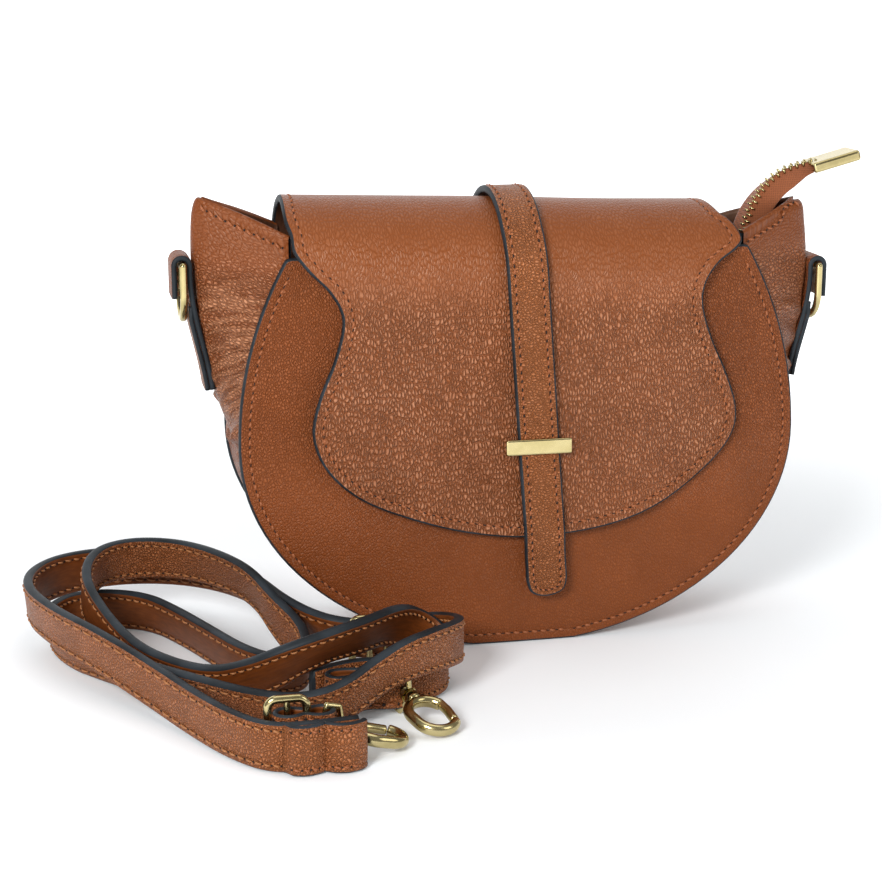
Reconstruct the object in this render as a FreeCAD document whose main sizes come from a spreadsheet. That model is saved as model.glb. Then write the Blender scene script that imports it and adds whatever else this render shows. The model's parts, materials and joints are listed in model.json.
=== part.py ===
import FreeCAD, Part
import math
import os
from FreeCAD import Placement, Rotation, Vector

# Leather saddle bag with a flap, a zip and a detached shoulder strap.
# Millimetres. +Z is up, the front faces -Y, and the origin is the middle of the base.

doc = FreeCAD.newDocument("sling_bag")
X_AXIS, Y_AXIS, Z_AXIS = Vector(1, 0, 0), Vector(0, 1, 0), Vector(0, 0, 1)
nodes = []

SIZES = [
    ("panel_half", 115, "half width of the front panel where it is widest"),
    ("waist_height", 85, "height of the widest place"),
    ("base_drop", 86.5, "half height of the round lower outline, cut flat at the base"),
    ("corner_half", 94, "half width between the top corners"),
    ("corner_height", 161, "height of the top corners"),
    ("base_half_depth", 33, "half depth of the bag at the base"),
    ("panel_lean", 2.85, "lean of each panel towards the middle, degrees"),
    ("leather", 2, "thickness of the panels"),
    ("lining_cloth", 0.8, "thickness of the lining"),
    ("back_drop", 12.5, "how much lower the back panel ends, under the flap's roll"),
    ("ear_left", 39.5, "how far the left gusset folds out at the top"),
    ("ear_right", 37, "how far the right gusset folds out at the top"),
    ("roll_height", 149, "height of the axis that the flap rolls over"),
    ("flap_gap", 3.2, "room between the panel and the flap for the snap"),
    ("flap_lining_thick", 1, "lining of the flap"),
    ("closure_width", 17, "width of the closure strap"),
    ("closure_thick", 2.5, "thickness of the closure strap"),
    ("closure_skew", 3.6, "lean of the closure strap to the side, degrees"),
    ("bar_length", 27, "length of the gold bar"),
    ("bar_height", 6.3, "height of the gold bar"),
    ("zip_height", 144, "height of the zip tape"),
    ("zip_half", 86, "half length of the zip"),
    ("teeth_pitch", 2.4, "pitch of the zip teeth"),
    ("slider_park", -74, "place of the slider along the closed zip"),
    ("ring_wire", 3, "wire of the D rings and slide buckles"),
    ("strap_width", 18, "width of the shoulder strap"),
    ("strap_thick", 3.6, "thickness of the shoulder strap"),
]

sheet = doc.addObject("Spreadsheet::Sheet", "Sizes")
for row, (alias, number, meaning) in enumerate(SIZES, start=1):
    sheet.set(f"A{row}", alias)
    sheet.set(f"B{row}", str(number))
    sheet.setAlias(f"B{row}", alias)
    sheet.set(f"C{row}", meaning)
doc.recompute()


def size(alias):
    return float(sheet.get(alias))


LEAN = math.radians(size("panel_lean"))
PANEL_HALF = size("panel_half")
WAIST = size("waist_height")
CORNER_HALF = size("corner_half")
CORNER = size("corner_height")
LEATHER = size("leather")
ROLL_Z = size("roll_height")

# The side of the outline is an arc that is upright at the waist and ends at the corner.
SIDE_RISE = CORNER - WAIST
SIDE_IN = PANEL_HALF - CORNER_HALF
SIDE_RADIUS = (SIDE_IN ** 2 + SIDE_RISE ** 2) / (2 * SIDE_IN)

# The flap rolls over an axis that leaves the snap's room in front and none behind.
PANEL_FACE_AT_ROLL = size("base_half_depth") - ROLL_Z * math.tan(LEAN)
SEAM_GAP = 0.1
ROLL_Y = -(size("flap_gap") - SEAM_GAP) / 2 / math.cos(LEAN)
ROLL_RADIUS = (PANEL_FACE_AT_ROLL - ROLL_Y) * math.cos(LEAN) + SEAM_GAP
FLAP_INNER = ROLL_RADIUS + size("flap_lining_thick") + 0.05
FLAP_OUTER = FLAP_INNER + LEATHER
CLOSURE_INNER = FLAP_OUTER + 1.2
CLOSURE_OUTER = CLOSURE_INNER + size("closure_thick")


# ---------------------------------------------------------------- helpers

def keep(shape_object, label):
    """Names a finished sub-part and lists it for export."""
    shape_object.Label = label
    nodes.append(shape_object)
    return shape_object


def solid_node(label, shape, placement=None):
    feature = doc.addObject("Part::Feature", label)
    feature.Shape = shape
    if placement is not None:
        feature.Placement = placement
    return keep(feature, label)


def padded_body(label, plane, outline, length_expression, reverse=False, midplane=False):
    """A body with one sketch, padded to a length that is bound to the sheet."""
    body = doc.addObject("PartDesign::Body", label)
    sketch = body.newObject("Sketcher::SketchObject", f"{label}_sketch")
    origin_plane = next(item for item in body.Origin.OriginFeatures if item.Role == plane)
    sketch.AttachmentSupport = [(origin_plane, "")]
    sketch.MapMode = "FlatFace"
    for curve in outline:
        sketch.addGeometry(curve, False)
    pad = body.newObject("PartDesign::Pad", f"{label}_pad")
    pad.Profile = sketch
    pad.setExpression("Length", length_expression)
    pad.Reversed = reverse
    pad.Midplane = midplane
    body.Tip = pad
    return keep(body, label)


def line(a, b):
    return Part.LineSegment(Vector(a[0], a[1], 0), Vector(b[0], b[1], 0))


def polygon(points):
    return [line(points[i], points[(i + 1) % len(points)]) for i in range(len(points))]


def rectangle(x_low, x_high, z_low, z_high):
    return polygon([(x_low, z_low), (x_high, z_low), (x_high, z_high), (x_low, z_high)])


def box_between(low, high):
    return Part.makeBox(high[0] - low[0], high[1] - low[1], high[2] - low[2], Vector(*low))


def rod(start, end, radius):
    return Part.makeCylinder(radius, (end - start).Length, start, end - start)


def rounded_route(points, radii, closed=False):
    """Straight runs joined by tangent arcs. radii has one entry for each corner."""
    count = len(points)
    corners = range(count) if closed else range(1, count - 1)
    starts, ends, arcs = {}, {}, {}
    for i in corners:
        here = points[i]
        back = (points[i - 1] - here).normalize()
        on = (points[(i + 1) % count] - here).normalize()
        half_turn = (math.pi - back.getAngle(on)) / 2
        reach = radii[i] * math.tan(half_turn)
        starts[i] = here + back * reach
        ends[i] = here + on * reach
        to_centre = (back + on).normalize()
        centre_distance = radii[i] / math.cos(half_turn)
        middle = here + to_centre * (centre_distance - radii[i])
        arcs[i] = Part.Arc(starts[i], middle, ends[i]).toShape()
    edges = []
    for i in range(count if closed else count - 1):
        j = (i + 1) % count
        run_start = ends.get(i, points[i])
        run_end = starts.get(j, points[j])
        if (run_end - run_start).Length > 1e-6:
            edges.append(Part.LineSegment(run_start, run_end).toShape())
        if j in arcs:
            edges.append(arcs[j])
    return Part.Wire(edges)


def wire_loop(points, corner_radius, wire_radius):
    """A closed loop of round wire."""
    path = rounded_route(points, [corner_radius] * len(points), closed=True)
    first = path.Edges[0]
    start = first.valueAt(first.FirstParameter)
    section = Part.Wire([Part.makeCircle(wire_radius, start, first.tangentAt(first.FirstParameter))])
    return path.makePipeShell([section], True, False)


# ---------------------------------------------------------------- outlines of the panels

def panel_outline(inset, top_drop):
    """Arc sides, flat top and a round bottom cut flat at the base."""
    half = PANEL_HALF - inset
    drop = size("base_drop") - inset
    side_radius = SIDE_RADIUS - inset
    top = CORNER - inset - top_drop
    floor = inset
    side_centre = PANEL_HALF - SIDE_RADIUS
    side_angle = math.asin((top - WAIST) / side_radius)
    corner_x = side_centre + side_radius * math.cos(side_angle)
    flat_angle = math.asin((WAIST - floor) / drop)
    flat_x = half * math.cos(flat_angle)
    right = Part.ArcOfCircle(Part.Circle(Vector(side_centre, WAIST, 0), Z_AXIS, side_radius), 0, side_angle)
    left = Part.ArcOfCircle(Part.Circle(Vector(-side_centre, WAIST, 0), Z_AXIS, side_radius),
                            math.pi - side_angle, math.pi)
    lower = Part.Ellipse(Vector(0, WAIST, 0), half, drop)
    low_right = Part.ArcOfEllipse(lower, -flat_angle, 0)
    low_left = Part.ArcOfEllipse(lower, math.pi, math.pi + flat_angle)
    return [right, line((corner_x, top), (-corner_x, top)), left, low_left,
            line((-flat_x, floor), (flat_x, floor)), low_right]


def panel_place(side, depth):
    """Puts a plate on the leaning plane, depth in from the outer face; side is -1 in front, 1 behind."""
    turn = Rotation(X_AXIS, math.degrees(LEAN) * side)
    offset = turn.multVec(Vector(0, -side * depth, 0))
    lift = LEATHER * math.sin(LEAN) + 0.01
    return Placement(Vector(0, side * size("base_half_depth"), lift) + offset, turn)


def make_panels():
    """Outer panels, their linings and the slip pocket."""
    gap, lining_inset = 0.2, 6.4
    for name, side, drop in (("front", -1, 0), ("back", 1, size("back_drop"))):
        panel = padded_body(f"{name}_panel", "XZ_Plane", panel_outline(0, drop), "Sizes.leather",
                            reverse=side < 0)
        panel.Placement = panel_place(side, 0)
        lining = padded_body(f"{name}_lining", "XZ_Plane", panel_outline(lining_inset, drop - 4),
                             "Sizes.lining_cloth", reverse=side < 0)
        lining.Placement = panel_place(side, LEATHER + gap)
    pocket_half, pocket_low, pocket_high = 58, 45, 120
    pocket = padded_body("slip_pocket", "XZ_Plane",
                         rectangle(-pocket_half, pocket_half, pocket_low, pocket_high), "Sizes.lining_cloth")
    pocket.Placement = panel_place(1, LEATHER + size("lining_cloth") + 2 * gap)


# ---------------------------------------------------------------- gusset

def rim_points():
    """Right half of the outline as (x, z, normal x, normal z), from the base up to the corner."""
    rim = [(0, 0, 0, -1)]
    drop = size("base_drop")
    flat_angle = math.asin(WAIST / drop)
    lower_steps, side_steps = 9, 8
    rim.append((PANEL_HALF * math.cos(flat_angle) - 1, 0, 0, -1))
    for i in range(lower_steps):
        angle = flat_angle * (1 - i / lower_steps)
        normal = Vector(math.cos(angle) / PANEL_HALF, 0, -math.sin(angle) / drop).normalize()
        rim.append((PANEL_HALF * math.cos(angle), WAIST - drop * math.sin(angle), normal.x, normal.z))
    top_angle = math.asin(SIDE_RISE / SIDE_RADIUS)
    for i in range(side_steps + 1):
        angle = top_angle * i / side_steps
        x = PANEL_HALF - SIDE_RADIUS * (1 - math.cos(angle))
        rim.append((x, WAIST + SIDE_RADIUS * math.sin(angle), math.cos(angle), math.sin(angle)))
    return rim


FOLD_START = 70
FOLD_POWER = 1.6


def fold_out(z, ear):
    """How far the middle of the gusset stands out from its edges at a height."""
    rise = max(0.0, (z - FOLD_START) / (CORNER - FOLD_START))
    return ear * rise ** FOLD_POWER


def gusset_section(rim_point, side, ear, inset, thick):
    x, z, normal_x, normal_z = rim_point
    normal = Vector(side * normal_x, 0, normal_z)
    edge_gap = 0.15
    half_depth = size("base_half_depth") - LEATHER / math.cos(LEAN) - z * math.tan(LEAN)
    half_depth -= edge_gap + inset / 4
    fold = fold_out(z, ear)
    slant = math.hypot(1, fold / half_depth)
    base = Vector(side * x, 0, z)
    outer_edge = base - normal * (inset * slant)
    outer_fold = base + normal * (fold - inset * slant)
    inner_edge = outer_edge - normal * (thick * slant)
    inner_fold = outer_fold - normal * (thick * slant)
    depth = Vector(0, half_depth, 0)
    corners = [outer_edge - depth, outer_fold, outer_edge + depth, inner_edge + depth, inner_fold,
               inner_edge - depth]
    return Part.makePolygon(corners + [corners[0]])


def gusset_solid(inset, thick, trim=0):
    """The folded strip between the panels, from one ear round the base to the other."""
    rim = rim_points()
    rim = rim[:len(rim) - trim]
    right = [gusset_section(point, 1, size("ear_right"), inset, thick) for point in rim]
    left = [gusset_section(point, -1, size("ear_left"), inset, thick) for point in rim[1:]]
    return Part.makeLoft(list(reversed(right)) + left, True, True)


def make_gusset():
    solid_node("gusset", gusset_solid(0, LEATHER))
    solid_node("gusset_lining", gusset_solid(LEATHER + 0.2, size("lining_cloth"), trim=1))


# ---------------------------------------------------------------- flap and closure

def flap_layer(inner, outer, half_width, bottom, start=LEAN):
    """A band that rolls over the top and hangs down the front, extruded across the bag."""
    centre = Vector(0, ROLL_Y, ROLL_Z)
    front = math.pi - LEAN
    length = (ROLL_Z + outer * math.sin(LEAN) - bottom) / math.cos(LEAN)
    down = Vector(0, -math.sin(LEAN), -math.cos(LEAN))

    def on_roll(radius, angle):
        return centre + Vector(0, math.cos(angle), math.sin(angle)) * radius

    middle = (start + front) / 2
    outer_arc = Part.Arc(on_roll(outer, start), on_roll(outer, middle), on_roll(outer, front)).toShape()
    inner_arc = Part.Arc(on_roll(inner, front), on_roll(inner, middle), on_roll(inner, start)).toShape()
    outer_end = on_roll(outer, front) + down * length
    inner_end = on_roll(inner, front) + down * length
    edges = [outer_arc, Part.makeLine(on_roll(outer, front), outer_end), Part.makeLine(outer_end, inner_end),
             Part.makeLine(inner_end, on_roll(inner, front)), inner_arc,
             Part.makeLine(on_roll(inner, start), on_roll(outer, start))]
    face = Part.Face(Part.Wire(edges))
    face.translate(Vector(-half_width, 0, 0))
    return face.extrude(Vector(2 * half_width, 0, 0))


FLAP_EDGE = [(94, 163), (80, 149), (73.5, 135), (80, 115), (87, 92), (75, 69), (45, 53), (0, 45.5)]


def flap_window(inset):
    """The space that the flap's outline leaves: waisted in front, straight behind."""
    right = [Vector(x - inset, 0, z + inset) for x, z in FLAP_EDGE[:-1]]
    low = Vector(0, 0, FLAP_EDGE[-1][1] + inset)
    left = [Vector(-point.x, 0, point.z) for point in reversed(right)]
    curve = Part.BSplineCurve()
    curve.interpolate(right + [low] + left)
    roof = 200
    first, last = right[0], left[-1]
    top_right, top_left = Vector(first.x, 0, roof), Vector(last.x, 0, roof)
    border = [curve.toShape(), Part.makeLine(last, top_left), Part.makeLine(top_left, top_right),
              Part.makeLine(top_right, first)]
    front_space = Part.Face(Part.Wire(border)).extrude(Vector(0, -80, 0))
    back_space = box_between((last.x, 0, 100), (first.x, 80, roof))
    return front_space.fuse(back_space)


def make_flap():
    half = CORNER_HALF + 1
    lining_outer = ROLL_RADIUS + size("flap_lining_thick")
    for label, inner, outer, inset in (("flap", FLAP_INNER, FLAP_OUTER, 0),
                                       ("flap_lining", ROLL_RADIUS, lining_outer, 1)):
        layer = flap_layer(inner, outer, half, FLAP_EDGE[-1][1] - 1)
        solid_node(label, layer.common(flap_window(inset)))
    hem_height = 16
    hem = padded_body("flap_hem", "XZ_Plane",
                      rectangle(-CORNER_HALF, CORNER_HALF, ROLL_Z - hem_height, ROLL_Z - 2.2),
                      "Sizes.leather")
    hem.Placement = panel_place(1, -SEAM_GAP)
    hem.Placement.Base = hem.Placement.Base + Vector(0, LEATHER, 0)


def front_place(x, z, radius):
    """A local frame on the flap's hanging front: local -Y points out, local Z up the flap."""
    turn = Rotation(X_AXIS, -math.degrees(LEAN))
    along = (z - ROLL_Z) / math.cos(LEAN)
    return Placement(Vector(x, ROLL_Y, ROLL_Z) + turn.multVec(Vector(0, -radius, along)), turn)


def make_closure():
    """The narrow strap over the flap, the gold bar that holds it and the plate behind."""
    strap_bottom, strap_half, sewn_end = 21, size("closure_width") / 2, math.radians(30)
    band = flap_layer(CLOSURE_INNER, CLOSURE_OUTER, strap_half, strap_bottom, start=sewn_end)
    tip_centre = Vector(0, -100, strap_bottom + strap_half)
    tip = Part.makeCylinder(strap_half, 200, tip_centre, Y_AXIS)
    above = box_between((-strap_half, -100, strap_bottom + strap_half), (strap_half, 100, 200))
    band = band.common(tip.fuse(above))
    band.rotate(Vector(0, 0, 145), Y_AXIS, -size("closure_skew"))
    solid_node("closure_strap", band)

    half_bar, bar_high, plate = size("bar_length") / 2, size("bar_height") / 2, 1.8
    reach = CLOSURE_OUTER + 0.3 - ROLL_RADIUS + 0.1
    bar = box_between((-half_bar, -plate, -bar_high), (half_bar, 0, bar_high))
    bar = bar.makeFillet(0.7, bar.Edges)
    for x in (-half_bar + 2.2, half_bar - 2.2):
        bar = bar.fuse(box_between((x - 0.8, -0.8, -2.2), (x + 0.8, reach, 2.2)))
    bar_place = front_place(3.5, 82.5, CLOSURE_OUTER + 0.3)
    solid_node("closure_bar", bar, bar_place)
    back_plate = padded_body("bar_back_plate", "XZ_Plane", rectangle(-12.5, 12.5, -2.6, 2.6),
                             "Sizes.lining_cloth", reverse=True)
    back_plate.Placement = front_place(3.5, 82.5, ROLL_RADIUS - 0.1)


def make_snap():
    """Magnetic snap: a stud under the flap enters a ring on the front panel."""
    height, ring_radius, hole_radius, stud_radius = 58, 9, 4.6, 3.4
    plate_radius = 7
    socket = Part.makeCylinder(ring_radius, 1.6, Vector(0, 0, 0), Y_AXIS * -1)
    socket = socket.cut(Part.makeCylinder(hole_radius, 1.2, Vector(0, -0.5, 0), Y_AXIS * -1))
    place = panel_place(-1, -0.05)
    place.Base = place.Base + place.Rotation.multVec(Vector(2, 0, height))
    solid_node("snap_socket", socket, place)
    stud = Part.makeCylinder(plate_radius, 1.1, Vector(0, 0, 0), Y_AXIS)
    stud = stud.fuse(Part.makeCylinder(stud_radius, 2.0, Vector(0, 0, 0), Y_AXIS))
    solid_node("snap_stud", stud, front_place(2, height, ROLL_RADIUS - 0.1))


# ---------------------------------------------------------------- zip

def make_zip():
    """Leather facings, tapes, teeth, slider, pull, and the tail with its end cap."""
    height, half = size("zip_height"), size("zip_half")
    inner_face = size("base_half_depth") - height * math.tan(LEAN) - LEATHER - size("lining_cloth") - 1.0
    tape_half, facing_half = half + 4, half - 2
    for name, side in (("front", -1), ("back", 1)):
        facing = padded_body(f"zip_facing_{name}", "XY_Plane",
                             rectangle(-facing_half, facing_half, min(side * 7.5, side * inner_face),
                                       max(side * 7.5, side * inner_face)), "0.75 * Sizes.leather")
        facing.setExpression("Placement.Base.z", "Sizes.zip_height + 0.8")
        tape_low, tape_high = sorted((side * 2.8, side * 13))
        tape = padded_body(f"zip_tape_{name}", "XY_Plane",
                           rectangle(-tape_half, tape_half, tape_low, tape_high),
                           "Sizes.lining_cloth", midplane=True)
        tape.setExpression("Placement.Base.z", "Sizes.zip_height")
        solid_node(f"zip_teeth_{name}", zip_teeth(side, half), Placement(Vector(0, 0, height), Rotation()))
    make_slider(height)
    make_tail(height, tape_half)


def zip_teeth(side, half):
    pitch = size("teeth_pitch")
    count = int(2 * half / pitch)
    tooth_thick, tooth_reach, slit = 1.3, 2.7, 0.4
    low_y, high_y = sorted((side * slit, side * tooth_reach))
    teeth = []
    for i in range(count):
        x = -half + (i + (0.25 if side > 0 else 0.75)) * pitch
        teeth.append(box_between((x - 0.5 * tooth_thick, low_y, -1), (x + 0.5 * tooth_thick, high_y, 1)))
    return Part.makeCompound(teeth)


PULL_PIVOT = Vector(0, 0, 4.3)


def make_slider(height):
    """Two plates joined by a thin web, with a bridge that holds the pull."""
    long_half, wide_half = 6.5, 5
    top = box_between((-long_half, -wide_half, 1.3), (long_half, wide_half, 2.6))
    under = box_between((-long_half, -wide_half, -2.6), (long_half, wide_half, -1.3))
    web = box_between((-long_half, -0.25, -1.4), (-long_half + 5, 0.25, 1.4))
    slider = top.fuse([under, web])
    for x in (-3.4, 3.4):
        slider = slider.fuse(box_between((x - 0.7, -1.6, 2.5), (x + 0.7, 1.6, 6.4)))
    slider = slider.fuse(box_between((-4.1, -1.6, 5.3), (4.1, 1.6, 6.5)))
    park = Placement(Vector(size("slider_park"), 0, height), Rotation())
    solid_node("zip_slider", slider, park)
    loop = Part.makeCylinder(0.8, 7.6, PULL_PIVOT + Vector(0, -3.8, 0), Y_AXIS)
    arms = [box_between((0, y - 0.9, 3.5), (9, y + 0.9, 5.1)) for y in (-2.9, 2.9)]
    plate = box_between((7.5, -3.8, 3.5), (22, 3.8, 5.1))
    solid_node("zip_pull", loop.fuse(arms + [plate]), park)


def make_tail(height, tape_end):
    """The end of the zip that comes out beside the flap, and its metal cap."""
    route = [Vector(tape_end + 0.3, 0, height), Vector(97, 0, 149), Vector(104, 0, 172), Vector(116, 0, 185),
             Vector(133, 0, 189.5)]
    radii = [0, 9, 18, 22, 0]
    path = rounded_route(route, radii)
    half_wide, half_thick = 6.5, 1.0
    start = path.Edges[0].valueAt(path.Edges[0].FirstParameter)
    tangent = path.Edges[0].tangentAt(path.Edges[0].FirstParameter)
    normal = tangent.cross(Y_AXIS).normalize()
    wide, thick = Y_AXIS * half_wide, normal * half_thick
    corners = [start - wide - thick, start + wide - thick, start + wide + thick, start - wide + thick]
    section = Part.makePolygon(corners + [corners[0]])
    solid_node("zip_tail", path.makePipeShell([section], True, True))
    cap = box_between((0, -7.4, -2.2), (21, 7.4, 2.2))
    cap = cap.makeFillet(1.2, cap.Edges)
    slot = box_between((-1, -6.7, -1.2), (4.8, 6.7, 1.2))
    cap_turn = Rotation(Y_AXIS, -14.8)
    cap_base = route[-1] - cap_turn.multVec(Vector(4.6, 0, 0))
    solid_node("zip_end_cap", cap.cut(slot), Placement(cap_base, cap_turn))


# ---------------------------------------------------------------- side tabs and D rings

TAB_FACES = {"left": 129.2, "right": 127.3}
RING_PIVOT_OUT = 3.9


def tab_solid(length, short_leg):
    """A leather strip folded over the ring: local X out of the bag, Z up, origin at the fold's axis."""
    half_wide, thick, inner = 8.7, 1.9, 1.9
    outer = inner + thick
    fold = Part.makeCylinder(outer, 2 * half_wide, Vector(0, -half_wide, 0), Y_AXIS)
    long_leg = box_between((-outer, -half_wide, -length), (-inner, half_wide, 0))
    outer_leg = box_between((inner, -half_wide, -short_leg), (outer, half_wide, 0))
    upper = box_between((-outer, -half_wide, 0), (outer, half_wide, outer))
    fold = fold.common(upper)
    hollow = Part.makeCylinder(inner, 2 * half_wide + 2, Vector(0, -half_wide - 1, 0), Y_AXIS)
    return fold.fuse([long_leg, outer_leg]).cut(hollow)


def d_ring_solid():
    """Hangs from its straight bar, in the YZ plane."""
    half_wide, leg, bow = 10.5, 12, 10
    wire = size("ring_wire") / 2
    top_left, top_right = Vector(0, -half_wide, 0), Vector(0, half_wide, 0)
    low_left, low_right = Vector(0, -half_wide, -leg), Vector(0, half_wide, -leg)
    bottom = Vector(0, 0, -leg - bow)
    solids = [rod(top_left, top_right, wire), rod(top_left, low_left, wire), rod(top_right, low_right, wire)]
    solids += [Part.makeSphere(wire, corner) for corner in (top_left, top_right)]
    bow_wire = Part.Wire([Part.Arc(low_left, bottom, low_right).toShape()])
    section = Part.Wire([Part.makeCircle(wire, low_left, bow_wire.Edges[0].tangentAt(
        bow_wire.Edges[0].FirstParameter))])
    solids.append(bow_wire.makePipeShell([section], True, False))
    solids += [Part.makeSphere(wire, corner) for corner in (low_left, low_right)]
    return solids[0].fuse(solids[1:])


def make_tabs_and_rings():
    for name, side, height, length in (("left", -1, 156.5, 50), ("right", 1, 148, 46)):
        turn = Rotation(Z_AXIS, 180 if side < 0 else 0)
        place = Placement(Vector(side * (TAB_FACES[name] + RING_PIVOT_OUT), 0, height), turn)
        solid_node(f"tab_{name}", tab_solid(length, 13), place)
        solid_node(f"d_ring_{name}", d_ring_solid(), place)


# ---------------------------------------------------------------- shoulder strap

# The middle line of the strap, which stands on its edge, from its cut end beside the first
# hook to its cut end beside the second. It is laid in two loose turns.
STRAP_ROUTE = [
    (-88, -144, 9.4), (-104, -145.5, 9.2), (-119, -145, 9.2), (-131, -130, 9.4), (-142, -109, 10),
    (-156, -83, 13), (-173, -58, 18), (-189, -31, 19.5), (-199, -2, 19.8), (-196, 22, 19.9),
    (-182, 38, 19.8), (-160, 43.5, 19.9), (-136, 39, 19.7), (-116, 22, 19.4), (-104, -5, 19),
    (-96, -34, 18), (-84, -51, 15.5), (-69, -55, 13.2), (-53, -52, 11), (-41, -62, 9.5),
    (-38, -80, 9.6), (-45, -96, 16), (-57, -106, 24.2), (-72, -112, 22.7), (-88, -117, 13),
    (-104, -118, 9.6), (-120, -108, 9.2), (-138, -89, 9.3), (-155, -69, 9.1), (-171, -48, 9.3),
    (-186, -26, 9.1), (-191, -4, 9.2), (-185, 13, 9.1), (-168, 19, 9.1), (-150, 11, 9.2),
    (-138, -12, 9.1), (-127, -40, 9.3), (-118, -62, 9.1), (-108, -76, 9.4), (-96, -73, 10.5),
    (-95, -58, 14), (-103, -38, 20), (-109, -16, 26), (-121, 5, 28), (-137, 22, 28.3),
    (-156, 27, 28.2), (-171, 16, 28.4), (-176, -4, 27), (-171, -25, 22), (-158, -45, 18),
    (-143, -62, 17), (-127, -79, 19.5), (-111, -93, 25), (-94, -98, 28.6), (-77, -92, 28.7),
    (-64, -78, 28), (-54, -69, 22), (-45, -70, 15), (-43, -80, 10.5), (-50, -88, 9.3),
    (-62, -90, 9.2), (-75, -87, 9.3), (-87, -89, 9.2), (-97, -95, 9.2),
]
RUN_SHARE = 0.45


def strap_radii(points):
    """The largest radius that each corner's two runs leave room for."""
    radii = [0]
    for i in range(1, len(points) - 1):
        back, on = points[i - 1] - points[i], points[i + 1] - points[i]
        half_turn = (math.pi - back.getAngle(on)) / 2
        radii.append(RUN_SHARE * min(back.Length, on.Length) / math.tan(half_turn))
    return radii + [0]


def make_strap():
    points = [Vector(*point) for point in STRAP_ROUTE]
    radii = strap_radii(points)
    path = rounded_route(points, radii)
    first = path.Edges[0]
    start, tangent = first.valueAt(first.FirstParameter), first.tangentAt(first.FirstParameter)
    side = tangent.cross(Z_AXIS).normalize() * (size("strap_thick") / 2)
    up = Z_AXIS * (size("strap_width") / 2)
    corners = [start - side - up, start + side - up, start + side + up, start - side + up]
    sweep = Part.BRepOffsetAPI.MakePipeShell(path)
    sweep.setBiNormalMode(Z_AXIS)
    sweep.add(Part.makePolygon(corners + [corners[0]]), False, False)
    sweep.build()
    sweep.makeSolid()
    band = sweep.shape()
    expected = size("strap_thick") * size("strap_width") * path.Length
    print("strap length", round(path.Length, 1), "volume share", round(band.Volume / expected, 3))
    print("strap radii", [round(radius, 1) for radius in radii[1:-1]])
    solid_node("shoulder_strap", band)


def closed_leather_loop(length, inner, thick, width):
    """A strip sewn into a loop round two upright bars, from the origin along local X."""
    outer = inner + thick

    def stadium(radius, height):
        ends = [Part.makeCylinder(radius, height, Vector(x, 0, -height / 2)) for x in (0, length)]
        middle = box_between((0, -radius, -height / 2), (length, radius, height / 2))
        return middle.fuse(ends)

    return stadium(outer, width).cut(stadium(inner, width + 2))


def buckle_solid(bar_radius):
    """A slide buckle in the XZ plane with a bar across its middle."""
    wire = size("ring_wire") / 2
    half_long, half_high = 8.4 - wire, 12.4 - wire
    corners = [Vector(-half_long, 0, -half_high), Vector(half_long, 0, -half_high),
               Vector(half_long, 0, half_high), Vector(-half_long, 0, half_high)]
    ring = wire_loop(corners, 3.2, wire)
    return ring.fuse(rod(Vector(0, 0, -half_high), Vector(0, 0, half_high), bar_radius))


# ---------------------------------------------------------------- snap hooks

RING_START, RING_END, RING_HALF = 11.0, 34.0, 9.5
RING_BAND, HOOK_THICK = 4.0, 4.6
GATE_PIVOT = Vector(17, 7.45, 0)
GATE_TIP = 28.3


def hook_eye():
    """The loop of wire that swivels on the hook's neck; its upright bar is on local Z."""
    wire, half_high, collar = 1.2, 9.0, (6.4, 8.4)
    knee, throat = 4.6, 2.2
    points = [Vector(0, 0, -half_high), Vector(0, 0, half_high), Vector(knee, 0, half_high),
              Vector(collar[0] + 1, 0, throat), Vector(collar[0] + 1, 0, -throat),
              Vector(knee, 0, -half_high)]
    runs = [(0, 1), (1, 2), (2, 3), (4, 5), (5, 0)]
    solids = [rod(points[a], points[b], wire) for a, b in runs]
    solids += [Part.makeSphere(wire, points[i]) for i in (0, 1, 2, 5)]
    collar_ring = rod(Vector(collar[0], 0, 0), Vector(collar[1], 0, 0), 3.2)
    eye = collar_ring.fuse(solids)
    neck_hole = rod(Vector(collar[0] - 2, 0, 0), Vector(collar[1] + 1, 0, 0), 1.5)
    return eye.cut(neck_hole)


def stadium_plate(start, end, half, thick):
    middle = box_between((start + half, -half, -thick / 2), (end - half, half, thick / 2))
    ends = [Part.makeCylinder(half, thick, Vector(x, 0, -thick / 2)) for x in (start + half, end - half)]
    return middle.fuse(ends)


def hook_body():
    """Oval ring with a gap for the gate, and the neck that turns in the eye."""
    ring = stadium_plate(RING_START, RING_END, RING_HALF, HOOK_THICK)
    ring = ring.cut(stadium_plate(RING_START + RING_BAND, RING_END - RING_BAND, RING_HALF - RING_BAND,
                                  HOOK_THICK + 2))
    cheek_end, slot_half, cut_depth = 19.0, 1.65, 3.2
    gap = box_between((cheek_end, cut_depth, -4), (GATE_TIP + 0.2, 12, 4))
    slot = box_between((15, cut_depth, -slot_half), (cheek_end + 1, 12, slot_half))
    pin = rod(GATE_PIVOT - Z_AXIS * 2.2, GATE_PIVOT + Z_AXIS * 2.2, 0.7)
    barrel = rod(Vector(8.7, 0, 0), Vector(RING_START + 1.2, 0, 0), 3.0)
    neck = rod(Vector(5.6, 0, 0), Vector(9, 0, 0), 1.4)
    head = rod(Vector(5, 0, 0), Vector(6.1, 0, 0), 2.0)
    return ring.cut(gap).cut(slot).fuse([pin, barrel, neck, head])


def hook_gate():
    """The sprung bar that closes the ring."""
    half, thick = 1.8, 3.0
    knuckle = Part.makeCylinder(half, thick, GATE_PIVOT - Z_AXIS * (thick / 2))
    bar = box_between((GATE_PIVOT.x, GATE_PIVOT.y - half, -thick / 2),
                      (GATE_TIP, GATE_PIVOT.y + half, thick / 2))
    hole = Part.makeCylinder(0.8, thick + 2, GATE_PIVOT - Z_AXIS * (thick / 2 + 1))
    return knuckle.fuse(bar).cut(hole)


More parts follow.
